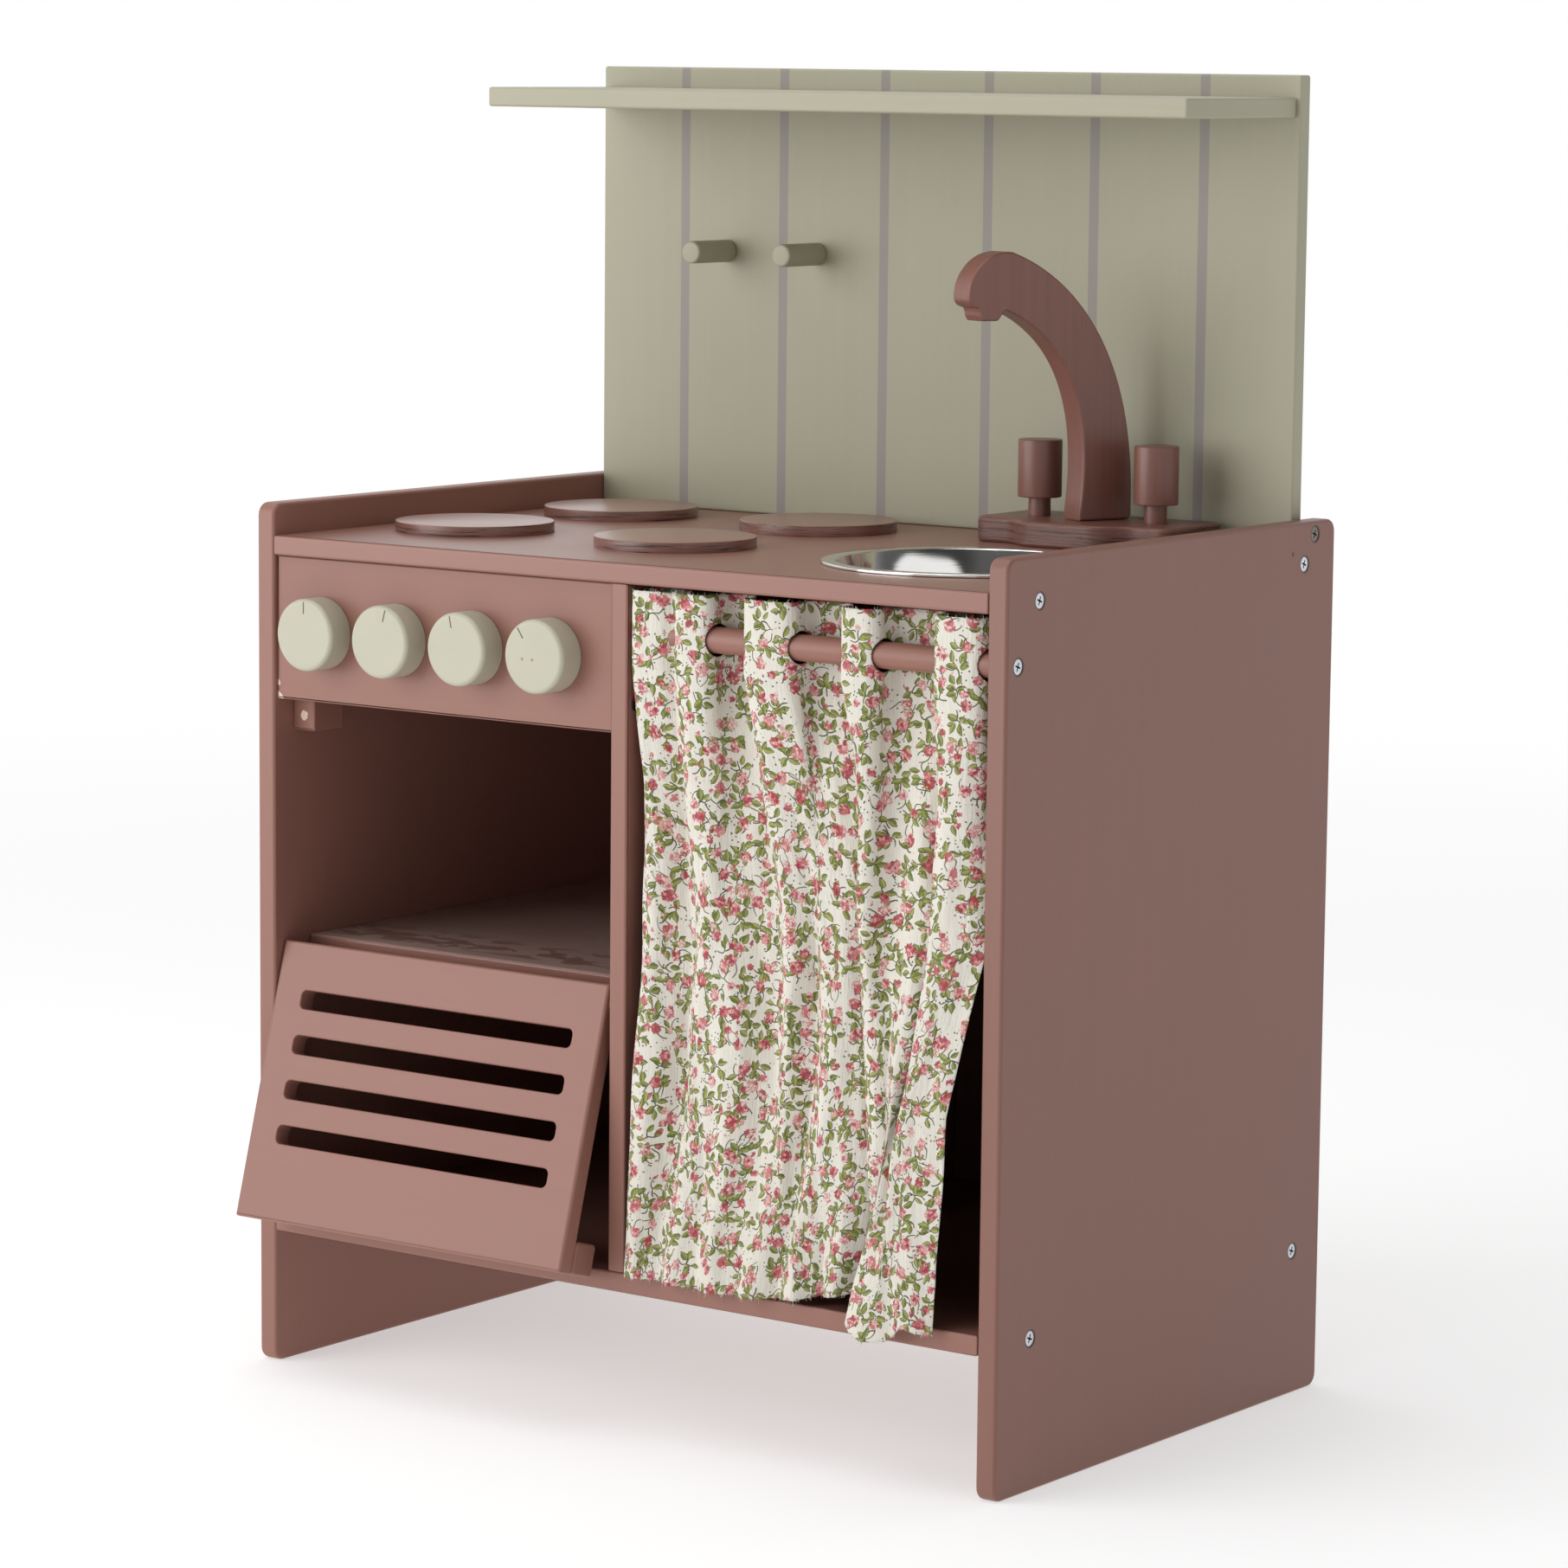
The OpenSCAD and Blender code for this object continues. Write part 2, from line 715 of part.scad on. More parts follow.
// Nail, with its flat head let into the board's rear face
module nail_solid(extra) {
    translate([0, 0, -extra]) cylinder(h = nail_l + 2 * extra, r = nail_r + extra);
    translate([0, 0, -extra]) cylinder(h = nail_head_t + 2 * extra, r = nail_head_r + extra);
}
module nail_hole() { nail_solid(run); }
module back_board_nails() {
    color(zinc) from_front() at_nails() nail_solid(0);
}
module divider_dowels() {
    color(wood) from_front() at_dowels() cylinder(h = dowel_l, r = dowel_r);
}

side_panel_left();
side_panel_right();
worktop();
bottom_board();
divider();
oven_shelf();
lower_back_board();
back_panel();
top_shelf();
peg_left();
peg_right();
knob_panel();
stop_block();
door_magnet();
door_pivots();
oven_door();
door_handle();
handle_dowels();
knob_1();
knob_2();
knob_3();
knob_4();
knob_spindle_1();
knob_spindle_2();
knob_spindle_3();
knob_spindle_4();
hob_front_left();
hob_front_right();
hob_rear_left();
hob_rear_right();
sink_bowl();
tap_base();
tap_spout();
spout_pivot();
tap_handle_left();
tap_handle_right();
tap_stem_left();
tap_stem_right();
curtain_rod();
curtain_cloth();
curtain_edge();
screws_left();
screws_right();
divider_screws();
bottom_screws();
rear_screws();
worktop_screws();
back_board_nails();
divider_dowels();
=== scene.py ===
"""A toy kitchen in painted wood, with a steel bowl and a printed curtain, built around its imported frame."""
import math

import bpy
import numpy as np
from mathutils import Matrix, Vector
from mathutils.geometry import tessellate_polygon


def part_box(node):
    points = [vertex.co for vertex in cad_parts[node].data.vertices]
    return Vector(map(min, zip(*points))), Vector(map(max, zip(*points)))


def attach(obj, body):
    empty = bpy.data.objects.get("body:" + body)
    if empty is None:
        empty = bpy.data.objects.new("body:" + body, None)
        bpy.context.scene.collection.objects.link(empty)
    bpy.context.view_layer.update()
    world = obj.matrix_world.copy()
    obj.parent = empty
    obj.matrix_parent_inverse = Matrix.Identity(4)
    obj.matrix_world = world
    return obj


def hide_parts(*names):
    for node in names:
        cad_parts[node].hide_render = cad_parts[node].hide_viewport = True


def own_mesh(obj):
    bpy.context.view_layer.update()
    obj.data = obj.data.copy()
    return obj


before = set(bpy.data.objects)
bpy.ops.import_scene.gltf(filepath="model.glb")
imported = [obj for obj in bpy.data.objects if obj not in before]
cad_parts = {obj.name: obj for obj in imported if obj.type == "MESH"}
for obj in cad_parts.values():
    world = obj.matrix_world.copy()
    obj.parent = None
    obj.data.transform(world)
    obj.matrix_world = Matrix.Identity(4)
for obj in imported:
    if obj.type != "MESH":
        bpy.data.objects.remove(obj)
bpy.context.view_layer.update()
MM = 0.001
SEED = 7

X, Y, Z = Vector((1, 0, 0)), Vector((0, 1, 0)), Vector((0, 0, 1))
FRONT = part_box("side_panel_left")[0].y      # the side panels' front edges
CREASE = math.cos(math.radians(40))         # a sharper corner than this shades as an edge
ROUND_STEPS = 4                             # facets in the rounding of a board's edge
AROUND = 96                                 # facets round a turned piece
TINY = 1e-7                                 # a radius under this is a point on the axis

# Linear colours of the paints, and of their wear
ROSE = (0.280, 0.129, 0.098)
ROSE_DARK = (0.200, 0.085, 0.065)
SAGE = (0.366, 0.349, 0.254)
STRIPE = (0.262, 0.240, 0.222)
CREAM = (0.480, 0.462, 0.360)
CREAM_GRIME = (0.42, 0.37, 0.27)
CREAM_SPOT = (0.30, 0.24, 0.16)
INK = (0.120, 0.082, 0.062)
PALE_CHIP = (0.72, 0.56, 0.46)
# painted shadow round the screw heads, and the colour of a real nick
SCREW_SHADOW_AND_NICK = (0.085, 0.045, 0.036)
RUBBED = (0.50, 0.41, 0.37)
STAIN = (0.190, 0.090, 0.070)
FLECK = (0.72, 0.62, 0.56)
# of the wood and the metals
BARE_WOOD = (0.62, 0.43, 0.26)
STEEL = (0.86, 0.85, 0.83)
ZINC = (0.62, 0.64, 0.68)
# painted shade for the metals' corners and recesses, then rust
RECESS_SHADE = (0.045, 0.036, 0.032)
RUST = (0.105, 0.060, 0.042)
# and of the printed cotton: its ground, stems, leaves (each a dark half and a light half), petals and dots
IVORY = (0.80, 0.755, 0.665)
STEM = (0.070, 0.080, 0.034)
LEAF_DARK = (0.125, 0.155, 0.026), (0.225, 0.255, 0.050)
LEAF_LIGHT = (0.270, 0.300, 0.070), (0.450, 0.450, 0.150)
LEAF_RIM = (0.058, 0.066, 0.018)
PETALS = (0.380, 0.042, 0.062), (0.580, 0.150, 0.170), (0.770, 0.380, 0.370), (0.810, 0.600, 0.545)
PETAL_SEAM = (0.430, 0.065, 0.085)
DOT = (0.075, 0.080, 0.040)


def darker(colour, share):
    return tuple(c * share for c in colour)


# ---------------- placing

def place(u, v):
    """Matrix from a flat shape's own (u, v, w) into the frame, w standing square to u and v."""
    return Matrix((u, v, u.cross(v))).transposed().to_4x4()


PLAN = place(X, Y)          # boards seen from above, w upwards
SIDE = place(Y, Z)          # boards seen from the right, w to the right
FACE = place(X, Z)          # boards seen from the front, w towards the front


def middle(node):
    low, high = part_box(node)
    return (low + high) / 2


def shifted(at):
    return Matrix.Translation(at)


# ---------------- outlines

def eased(points, radii, closed=True, steps=5):
    """Rounds a run of points: one radius for all, or one for each."""
    p = [Vector(q) for q in points]
    radii = radii if hasattr(radii, "__len__") else [radii] * len(p)
    made = []
    for i, (corner, r) in enumerate(zip(p, radii)):
        ends = not closed and i in (0, len(p) - 1)
        if r <= 0 or ends:
            made.append(tuple(corner))
            continue
        to_last = (p[i - 1] - corner).normalized()
        to_next = (p[(i + 1) % len(p)] - corner).normalized()
        half = to_last.angle(to_next) / 2
        centre = corner + (to_last + to_next).normalized() * (r / math.sin(half))
        start = (corner + to_last * (r / math.tan(half)) - centre).normalized()
        end = (corner + to_next * (r / math.tan(half)) - centre).normalized()
        for k in range(steps + 1):
            made.append(tuple(centre + start.slerp(end, k / steps) * r))
    return made


def rectangle(u0, v0, u1, v1, r):
    return eased([(u0, v0), (u1, v0), (u1, v1), (u0, v1)], r)


def circle(u, v, r, steps=48):
    turns = [2 * math.pi * k / steps for k in range(steps)]
    return [(u + r * math.cos(a), v + r * math.sin(a)) for a in turns]


def bezier(a, b, c, d, steps):
    """Points from a, not counting d, on the cubic curve with handles b and c."""
    a, b, c, d = (Vector(q) for q in (a, b, c, d))
    made = []
    for k in range(steps):
        t = k / steps
        s = 1 - t
        made.append(tuple(a * s**3 + b * 3 * s * s * t + c * 3 * s * t * t + d * t**3))
    return made


# ---------------- solids

def piece(name, body, look, at, verts, faces, normals, replaced):
    """A mesh object with its own corner normals, placed by at and riding on a body."""
    mesh = bpy.data.meshes.new(name)
    mesh.from_pydata([tuple(at @ Vector(v)) for v in verts], [], faces)
    mesh.polygons.foreach_set("use_smooth", [True] * len(faces))
    turn = at.to_3x3()
    mesh.normals_split_custom_set([tuple(turn @ Vector(n)) for n in normals])
    obj = bpy.data.objects.new(name, mesh)
    bpy.context.scene.collection.objects.link(obj)
    mesh.materials.append(look)
    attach(obj, body)
    if replaced:
        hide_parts(*replaced)
    return obj


def unit(v):
    return v / np.linalg.norm(v, axis=-1, keepdims=True)


def corner_normals(n, closed):
    """Each edge's normals at its two ends: shared with the neighbour where they nearly agree."""
    before, after = np.roll(n, 1, 0), np.roll(n, -1, 0)
    start = np.where((n * before).sum(1, keepdims=True) > CREASE, unit(n + before + 1e-12), n)
    end = np.where((n * after).sum(1, keepdims=True) > CREASE, unit(n + after + 1e-12), n)
    if not closed:
        start[0], end[-1] = n[0], n[-1]
    return start, end


def plate(name, body, look, at, loops, low, high, replaced=()):
    """A flat board from w = low to high.
    loops: its outline, then its holes, each (points, rounding of its rim)."""
    verts, faces, normals, caps = [], [], [], []
    for k, (points, r) in enumerate(loops):
        p = np.array(points, float)
        area = (p[:, 0] * np.roll(p[:, 1], -1) - np.roll(p[:, 0], -1) * p[:, 1]).sum()
        if (area > 0) == (k > 0):
            p = p[::-1]
        d = np.roll(p, -1, 0) - p
        n = unit(np.stack([d[:, 1], -d[:, 0]], 1))
        before = np.roll(n, 1, 0)
        mitre = (n + before) / (1 + (n * before).sum(1))[:, None]
        start, end = corner_normals(n, closed=True)
        turns = [math.pi / 2 * s / ROUND_STEPS for s in range(ROUND_STEPS + 1)]
        rings = [(r * (1 - math.sin(a)), high - r * (1 - math.cos(a)), math.sin(a), math.cos(a))
                 for a in turns]
        rings += [(inset, low + high - w, out, -up) for inset, w, out, up in reversed(rings)]
        first, count = len(verts), len(p)
        for inset, w, _, _ in rings:
            q = p - mitre * inset
            verts += [(u, v, w) for u, v in q]
        for j in range(len(rings) - 1):
            (_, _, out_a, up_a), (_, _, out_b, up_b) = rings[j], rings[j + 1]
            a, b = first + j * count, first + (j + 1) * count
            for i in range(count):
                m = (i + 1) % count
                faces.append((a + i, b + i, b + m, a + m))
                for side, out, up in ((start[i], out_a, up_a), (start[i], out_b, up_b),
                                      (end[i], out_b, up_b), (end[i], out_a, up_a)):
                    normals.append((side[0] * out, side[1] * out, up))
        caps.append((first, first + (len(rings) - 1) * count, count, p - mitre * rings[0][0]))
    top = [index for first, _, count, _ in caps for index in range(first, first + count)]
    bottom = [index for _, last, count, _ in caps for index in range(last, last + count)]
    fill = tessellate_polygon([[(u, v, 0) for u, v in inner] for _, _, _, inner in caps])
    for a, b, c in fill:
        pa, pb, pc = (Vector(verts[top[i]]) for i in (a, b, c))
        if (pb - pa).cross(pc - pa).z < 0:
            b, c = c, b
        faces += [(top[a], top[b], top[c]), (bottom[a], bottom[c], bottom[b])]
        normals += [(0, 0, 1)] * 3 + [(0, 0, -1)] * 3
    piece(name, body, look, at, verts, faces, normals, replaced)


def turned(node, name, look, at, profile, body="cabinet"):
    """A turned piece in place of a CAD one.
    profile: (radius, w) points in mm, from the axis, out, and back to the axis."""
    p = np.array(profile, float) * MM
    d = np.diff(p, axis=0)
    n = unit(np.stack([d[:, 1], -d[:, 0]], 1))
    start, end = corner_normals(n, closed=False)
    angles = [2 * math.pi * k / AROUND for k in range(AROUND)]
    spokes = [(math.cos(a), math.sin(a)) for a in angles]
    verts, rings = [], []
    for r, w in p:
        rings.append(len(verts))
        verts += [(0, 0, w)] if r < TINY else [(r * c, r * s, w) for c, s in spokes]
    faces, normals = [], []
    for j in range(len(p) - 1):
        poles = p[j, 0] < TINY, p[j + 1, 0] < TINY
        for i in range(AROUND):
            m = (i + 1) % AROUND
            corners = [(rings[j] + i, i, start[j]), (rings[j] + m, m, start[j]),
                       (rings[j + 1] + m, m, end[j]), (rings[j + 1] + i, i, end[j])]
            if poles[0]:
                corners = [(rings[j], i, start[j]), corners[2], corners[3]]
            if poles[1]:
                corners = [corners[0], corners[1], (rings[j + 1], i, end[j])]
            faces.append(tuple(c[0] for c in corners))
            normals += [(q[0] * spokes[k][0], q[0] * spokes[k][1], q[1]) for _, k, q in corners]
    return piece(name, body, look, at, verts, faces, normals, (node,))


# ---------------- materials

class Graph:
    """The nodes of a material or a world, with short calls for the usual ones."""

    def __init__(self, owner):
        owner.use_nodes = True
        self.owner, self.tree = owner, owner.node_tree

    def node(self, kind, inputs=None, **settings):
        made = self.tree.nodes.new("ShaderNode" + kind)
        for key, value in settings.items():
            setattr(made, key, value)
        for key, value in (inputs or {}).items():
            if isinstance(value, bpy.types.NodeSocket):
                self.tree.links.new(value, made.inputs[key])
            else:
                made.inputs[key].default_value = value
        return made

    def math(self, kind, a, b=0.0, c=0.0):
        return self.node("Math", {0: a, 1: b, 2: c}, operation=kind).outputs[0]

    def scaled(self, value, by, plus=0.0):
        return self.math("MULTIPLY_ADD", value, by, plus)

    def product(self, first, *others):
        for value in others:
            first = self.math("MULTIPLY", first, value)
        return first

    def centred(self, value):
        """A value from 0 to 1, moved to lie about 0."""
        return self.math("SUBTRACT", value, 0.5)

    def vector(self, kind, a, b=(0, 0, 0)):
        made = self.node("VectorMath", {0: a, 1: b}, operation=kind)
        return made.outputs["Value" if kind in ("LENGTH", "DISTANCE", "DOT_PRODUCT") else "Vector"]

    def times(self, vector, by):
        """A vector or a colour times a number."""
        return self.node("VectorMath", {0: vector, 3: by}, operation="SCALE").outputs["Vector"]

    def parts(self, at):
        return self.node("SeparateXYZ", {0: at}).outputs

    def facing(self, axis):
        """How squarely the surface faces along an axis, from -1 to 1."""
        return self.parts(self.node("NewGeometry").outputs["Normal"])[axis]

    def object_points(self):
        return self.node("TexCoord").outputs["Object"]

    def stretched(self, at, scale):
        return self.node("Mapping", {"Vector": at, "Scale": scale}).outputs[0]

    def noise(self, at, scale, detail=2.0, rough=0.5, bend=0.0):
        inputs = {"Vector": at, "Scale": scale, "Detail": detail, "Roughness": rough, "Distortion": bend}
        return self.node("TexNoise", inputs).outputs["Fac"]

    def step(self, value, low, high):
        """0 below low, 1 above high, smooth between."""
        inputs = {"Value": value, "From Min": low, "From Max": high}
        return self.node("MapRange", inputs, interpolation_type="SMOOTHSTEP").outputs["Result"]

    def remap(self, value, low, high):
        """A value from 0 to 1, moved to run from low to high."""
        return self.node("MapRange", {"Value": value, "To Min": low, "To Max": high}).outputs["Result"]

    def mix(self, share, a, b):
        made = self.node("Mix", data_type="RGBA")
        for key, value in ((0, share), (6, a), (7, b)):
            if isinstance(value, bpy.types.NodeSocket):
                self.tree.links.new(value, made.inputs[key])
            else:
                made.inputs[key].default_value = value if key == 0 else (*value, 1)
        return made.outputs[2]

    def bump(self, height, distance, strength=1.0):
        return self.node("Bump", {"Height": height, "Distance": distance, "Strength": strength}).outputs[0]

    def near(self, at, point, radius, ragged=0.6):
        """1 within a ragged spot around a point."""
        away = self.vector("DISTANCE", at, tuple(point))
        wobble = self.noise(at, 0.9 / radius, 3, 0.6)
        return self.math("LESS_THAN", away, self.scaled(wobble, ragged * 2 * radius, radius * (1 - ragged)))


class Look(Graph):
    """One material's nodes."""

    def __init__(self, name):
        super().__init__(bpy.data.materials.new(name))
        self.shader = self.tree.nodes["Principled BSDF"]

    def set(self, **values):
        """Sets the shader's sockets, named with _ for a space."""
        for key, value in values.items():
            socket = self.shader.inputs[key.replace("_", " ")]
            if isinstance(value, bpy.types.NodeSocket):
                self.tree.links.new(value, socket)
            elif socket.type == "RGBA":
                socket.default_value = (*value, 1)
            else:
                socket.default_value = value


# Along-grain scales, by the direction that a board's grain runs in
GRAIN = {"x": (5, 160, 160), "y": (160, 5, 160), "z": (160, 160, 5)}


def striped(g, at, colour):
    """Thin stripes, masked off and painted up the front of a panel."""
    pitch, half, blur = 0.071, 0.0031, 0.0002
    phase = g.math("PINGPONG", g.math("ADD", g.parts(at)[0], pitch / 2), pitch / 2)
    wave = g.product(g.centred(g.noise(at, 60, 2)), 0.0004)
    mask = g.step(g.math("ADD", phase, wave), half + blur, half - blur)
    mask = g.product(mask, g.math("LESS_THAN", g.facing(1), -0.5))
    return g.mix(g.product(mask, 0.92), colour, STRIPE)


def sunk_paint(g, at, tint, raw):
    """Streaks on upright faces, where the paint has sunk into the cut wood: (the tint, their height)."""
    upright = g.step(g.math("ABSOLUTE", g.facing(2)), 0.75, 0.35)
    ply = g.noise(g.stretched(at, (26, 26, 900)), 1.0, 4, 0.7, 0.8)
    dark = g.product(g.step(ply, 0.50, 0.36), raw, 0.60)
    light = g.product(g.step(ply, 0.60, 0.70), raw, 0.60)
    tint = g.scaled(g.math("SUBTRACT", light, dark), upright, tint)
    tint = g.scaled(upright, -0.20 * raw, tint)
    return tint, g.product(ply, upright, 1.6 * raw)


def pot_wear(g, at, paint, sheen, front):
    """A top worn by pots sliding in and out: greyer all over, with stains just behind its front edge."""
    behind = g.math("SUBTRACT", g.parts(at)[1], front)
    band = g.product(g.step(behind, 0.008, 0.016), g.step(behind, 0.062, 0.038))
    stained = g.step(g.noise(g.stretched(at, (34, 62, 34)), 1.0, 3, 0.6, 0.6), 0.49, 0.52)
    top = g.step(g.facing(2), 0.6, 0.95)
    rubbed = g.step(g.noise(at, 9, 3, 0.55), 0.30, 0.62)
    flecks = g.step(g.noise(at, 900, 1, 0.5), 0.74, 0.78)
    paint = g.mix(g.product(g.scaled(rubbed, 0.20, 0.40), top), paint, RUBBED)
    paint = g.mix(g.product(stained, band, 0.72), paint, STAIN)
    paint = g.mix(g.product(flecks, 0.7), paint, FLECK)
    return paint, g.scaled(rubbed, -0.10, sheen)


def painted(name, colour, grain="z", figure=0.35, rough=0.46, gloss=0.04, spots_of_colour=(), stripes=False,
            raw_edges=0.0, pots_from=None):
    """Satin paint over board: slight mottling, faint grain, roller texture, and spots of their own colour:
    bare wood at chips, a nick, and painted shadow round screw heads.
    raw_edges is how far the paint has sunk into upright edges, and pots_from is a worn shelf's front."""
    g = Look(name)
    at = g.object_points()
    mottle = g.noise(at, 11, 3, 0.6)
    streak = g.noise(g.stretched(at, GRAIN[grain]), 1.0, 4, 0.65, 0.6)
    fine_grain = g.noise(g.stretched(at, [s * 5 for s in GRAIN[grain]]), 1.0, 2, 0.5)
    tint = g.scaled(mottle, 0.10, 0.95)
    tint = g.scaled(g.centred(streak), 0.22 * figure, tint)
    ply = 0.0
    if raw_edges:
        tint, ply = sunk_paint(g, at, tint, raw_edges)
    paint = g.times(striped(g, at, colour) if stripes else colour, tint)
    sheen = g.scaled(mottle, 0.10, rough - 0.05)
    if pots_from is not None:
        paint, sheen = pot_wear(g, at, paint, sheen, pots_from)
    for point, radius, spot_colour, *ragged in spots_of_colour:
        paint = g.mix(g.near(at, point, radius, *ragged), paint, spot_colour)
    height = g.scaled(streak, 0.9 * figure, g.product(g.noise(at, 1100, 2, 0.5), 0.16))
    height = g.scaled(fine_grain, 0.35 * figure, height)
    height = g.math("ADD", height, ply)
    g.set(Base_Color=paint, Roughness=sheen, Normal=g.bump(height, 0.00022, 0.55),
          Specular_IOR_Level=0.42, Coat_Weight=gloss, Coat_Roughness=0.30)
    return g.owner


def brushed(name, colour, rough, rings_at=None, marked=0.08, shaded_recesses=False, rusted=None):
    """Bright metal with fine tool marks: rings about an upright axis at rings_at, or a plain fine grain.
    shaded_recesses paints shade into its corners and recesses, and rusted is a point round which it has gone
    brown."""
    g = Look(name)
    at = g.object_points()
    if rings_at is None:
        marks = g.noise(at, 2600, 3, 0.6)
    else:
        x, y, z = g.parts(g.vector("SUBTRACT", at, tuple(rings_at)))
        away = g.math("SQRT", g.math("ADD", g.math("POWER", x, 2), g.math("POWER", y, 2)))
        marks = g.noise(g.node("CombineXYZ", {0: away, 1: g.product(z, 0.4)}).outputs[0], 2300, 4, 0.7)
    smudge = g.noise(at, 34, 3, 0.6)
    haze = g.scaled(smudge, marked, rough - 0.5 * marked)
    tone, metal = g.mix(smudge, colour, darker(colour, 0.90)), 1.0
    if shaded_recesses:
        # painted shade: darker where ambient occlusion finds corners and recesses, as in the screws' cross
        # recesses
        openness = g.node("AmbientOcclusion", {"Distance": 0.0016}).outputs["AO"]
        tone = g.mix(g.step(openness, 0.95, 0.45), tone, RECESS_SHADE)
    if rusted is not None:
        brown = g.math("LESS_THAN", g.vector("DISTANCE", at, tuple(rusted)), 0.006)
        tone = g.mix(g.product(brown, 0.85), tone, RUST)
        patch = g.product(brown, g.step(g.noise(at, 700, 3, 0.6), 0.38, 0.55), 0.8)
        metal = g.math("SUBTRACT", 1.0, patch)
    g.set(Base_Color=tone, Metallic=metal, Roughness=g.scaled(marks, marked, haze),
          Normal=g.bump(marks, 0.00004, 0.5))
    return g.owner


def turned_wood(name, colour):
    """Plain dowel wood, barely finished."""
    g = Look(name)
    grain = g.noise(g.stretched(g.object_points(), (160, 160, 160)), 1.0, 4, 0.65, 0.8)
    g.set(Base_Color=g.mix(grain, colour, darker(colour, 0.72)), Roughness=0.62,
          Normal=g.bump(grain, 0.0002, 0.5))
    return g.owner


def knob_paint(name, spots=()):
    """Cream satin paint on a turned knob, with a few handling marks."""
    g = Look(name)
    at = g.object_points()
    mottle = g.noise(at, 45, 3, 0.6)
    grime = g.step(g.noise(at, 120, 4, 0.65), 0.60, 0.78)
    tone = g.mix(mottle, CREAM, darker(CREAM, 0.93))
    tone = g.mix(g.product(grime, 0.10), tone, CREAM_GRIME)
    for point, radius, colour in spots:
        tone = g.mix(g.near(at, point, radius, 0.3), tone, colour)
    height = g.scaled(g.noise(at, 900, 2), 0.25, g.noise(at, 160, 2))
    g.set(Base_Color=tone, Roughness=g.remap(mottle, 0.36, 0.46), Normal=g.bump(height, 0.0001, 0.5),
          Specular_IOR_Level=0.45)
    return g.owner


# ---------------- where things are

def at_front(x, y, z):
    """A point given in millimetres, y from the side panels' front edges."""
    return Vector((x * MM, FRONT + y * MM, z * MM))


def centres(node, at, near=0.009):
    """Where a node's separate screws or nails stand, in at's own (u, v)."""
    obj = bpy.data.objects[node]
    inverse = at.inverted() @ obj.matrix_world
    groups = []
    for vertex in obj.data.vertices:
        p = (inverse @ vertex.co).xy
        mine = next((g for g in groups if (g[0] - p).length < near), None)
        if mine:
            mine.append(p)
        else:
            groups.append([p])
    return [tuple((min(p[k] for p in g) + max(p[k] for p in g)) / 2 for k in (0, 1)) for g in groups]


def holes(node, at, r=0.0041, edge=0.00025):
    return [(circle(u, v, r, 40), edge) for u, v in centres(node, at)]


def board(node, look, at, edge, corner=0.0008, cuts=(), replaced=None):
    """A painted board in place of a CAD one, its arrises rounded by edge and its outline by corner."""
    low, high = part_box(node)
    inverse = at.inverted()
    a, b = inverse @ low, inverse @ high
    (u0, u1), (v0, v1), (w0, w1) = (sorted(pair) for pair in zip(a, b))
    loops = [(rectangle(u0, v0, u1, v1, corner), edge), *cuts]
    plate("painted_" + node, "cabinet", look, at, loops, w0, w1, replaced or (node,))


def rod_profile(r, low, high, edge):
    """A plain cylinder from low to high, its two rims rounded."""
    return eased([(0, low), (r, low), (r, high), (0, high)], edge, closed=False)


# ---------------- the looks

rose_x = painted("rose_along", ROSE, "x")
rose_z = painted("rose_upright", ROSE, "z")
rose_top = painted("rose_worktop", ROSE, "x", figure=0.30, rough=0.38, gloss=0.18)
rose_small = painted("rose_small_parts", ROSE, "x", figure=0.55, rough=0.44)
rose_hob = painted("rose_hob", ROSE, "x", figure=0.5, rough=0.30, gloss=0.45, raw_edges=1.2)
rose_tap = painted("rose_tap", ROSE_DARK, "z", figure=2.0, rough=0.34, gloss=0.08)
rose_tap_base = painted("rose_tap_base", ROSE_DARK, "x", figure=1.2, rough=0.36, gloss=0.08, raw_edges=1.0)
rose_shelf = painted("rose_oven_shelf", ROSE, "y", figure=0.45, rough=0.40,
                     pots_from=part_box("oven_shelf")[0].y)
# the lower back board's paint is darkened as painted shade, for the dim inside of the oven
rose_shaded_lower_back = painted("rose_lower_back", darker(ROSE, 0.72), "x", figure=0.5)
sage_back = painted("sage_back", SAGE, "z", figure=0.30, rough=0.52, stripes=True)
sage_plain = painted("sage_plain", SAGE, "x", figure=0.35, rough=0.50)
dowel_wood = turned_wood("beech_dowel", BARE_WOOD)
zinc = brushed("bright_zinc", ZINC, 0.24, shaded_recesses=True)
steel = brushed("spun_steel", STEEL, 0.06, rings_at=middle("sink_bowl"), marked=0.05)


def chipped(node, name, grain, spots_of_colour):
    """Rose paint, chipped at (x, z, radius) from the lower left corner of a node's front."""
    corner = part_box(node)[0]
    return painted(name, ROSE, grain, spots_of_colour=[
        ((corner.x + x, corner.y, corner.z + z), radius, PALE_CHIP) for x, z, radius in spots_of_colour])


rose_panel = chipped("knob_panel", "rose_knob_panel", "x", [(0, 0, 0.0042), (0.0008, 0.009, 0.0016)])
rose_block = chipped("stop_block", "rose_stop_block", "z",
                     [(0.0055, 0.0235, 0.0030), (0.0085, 0.0085, 0.0026)])

# ---------------- the cabinet

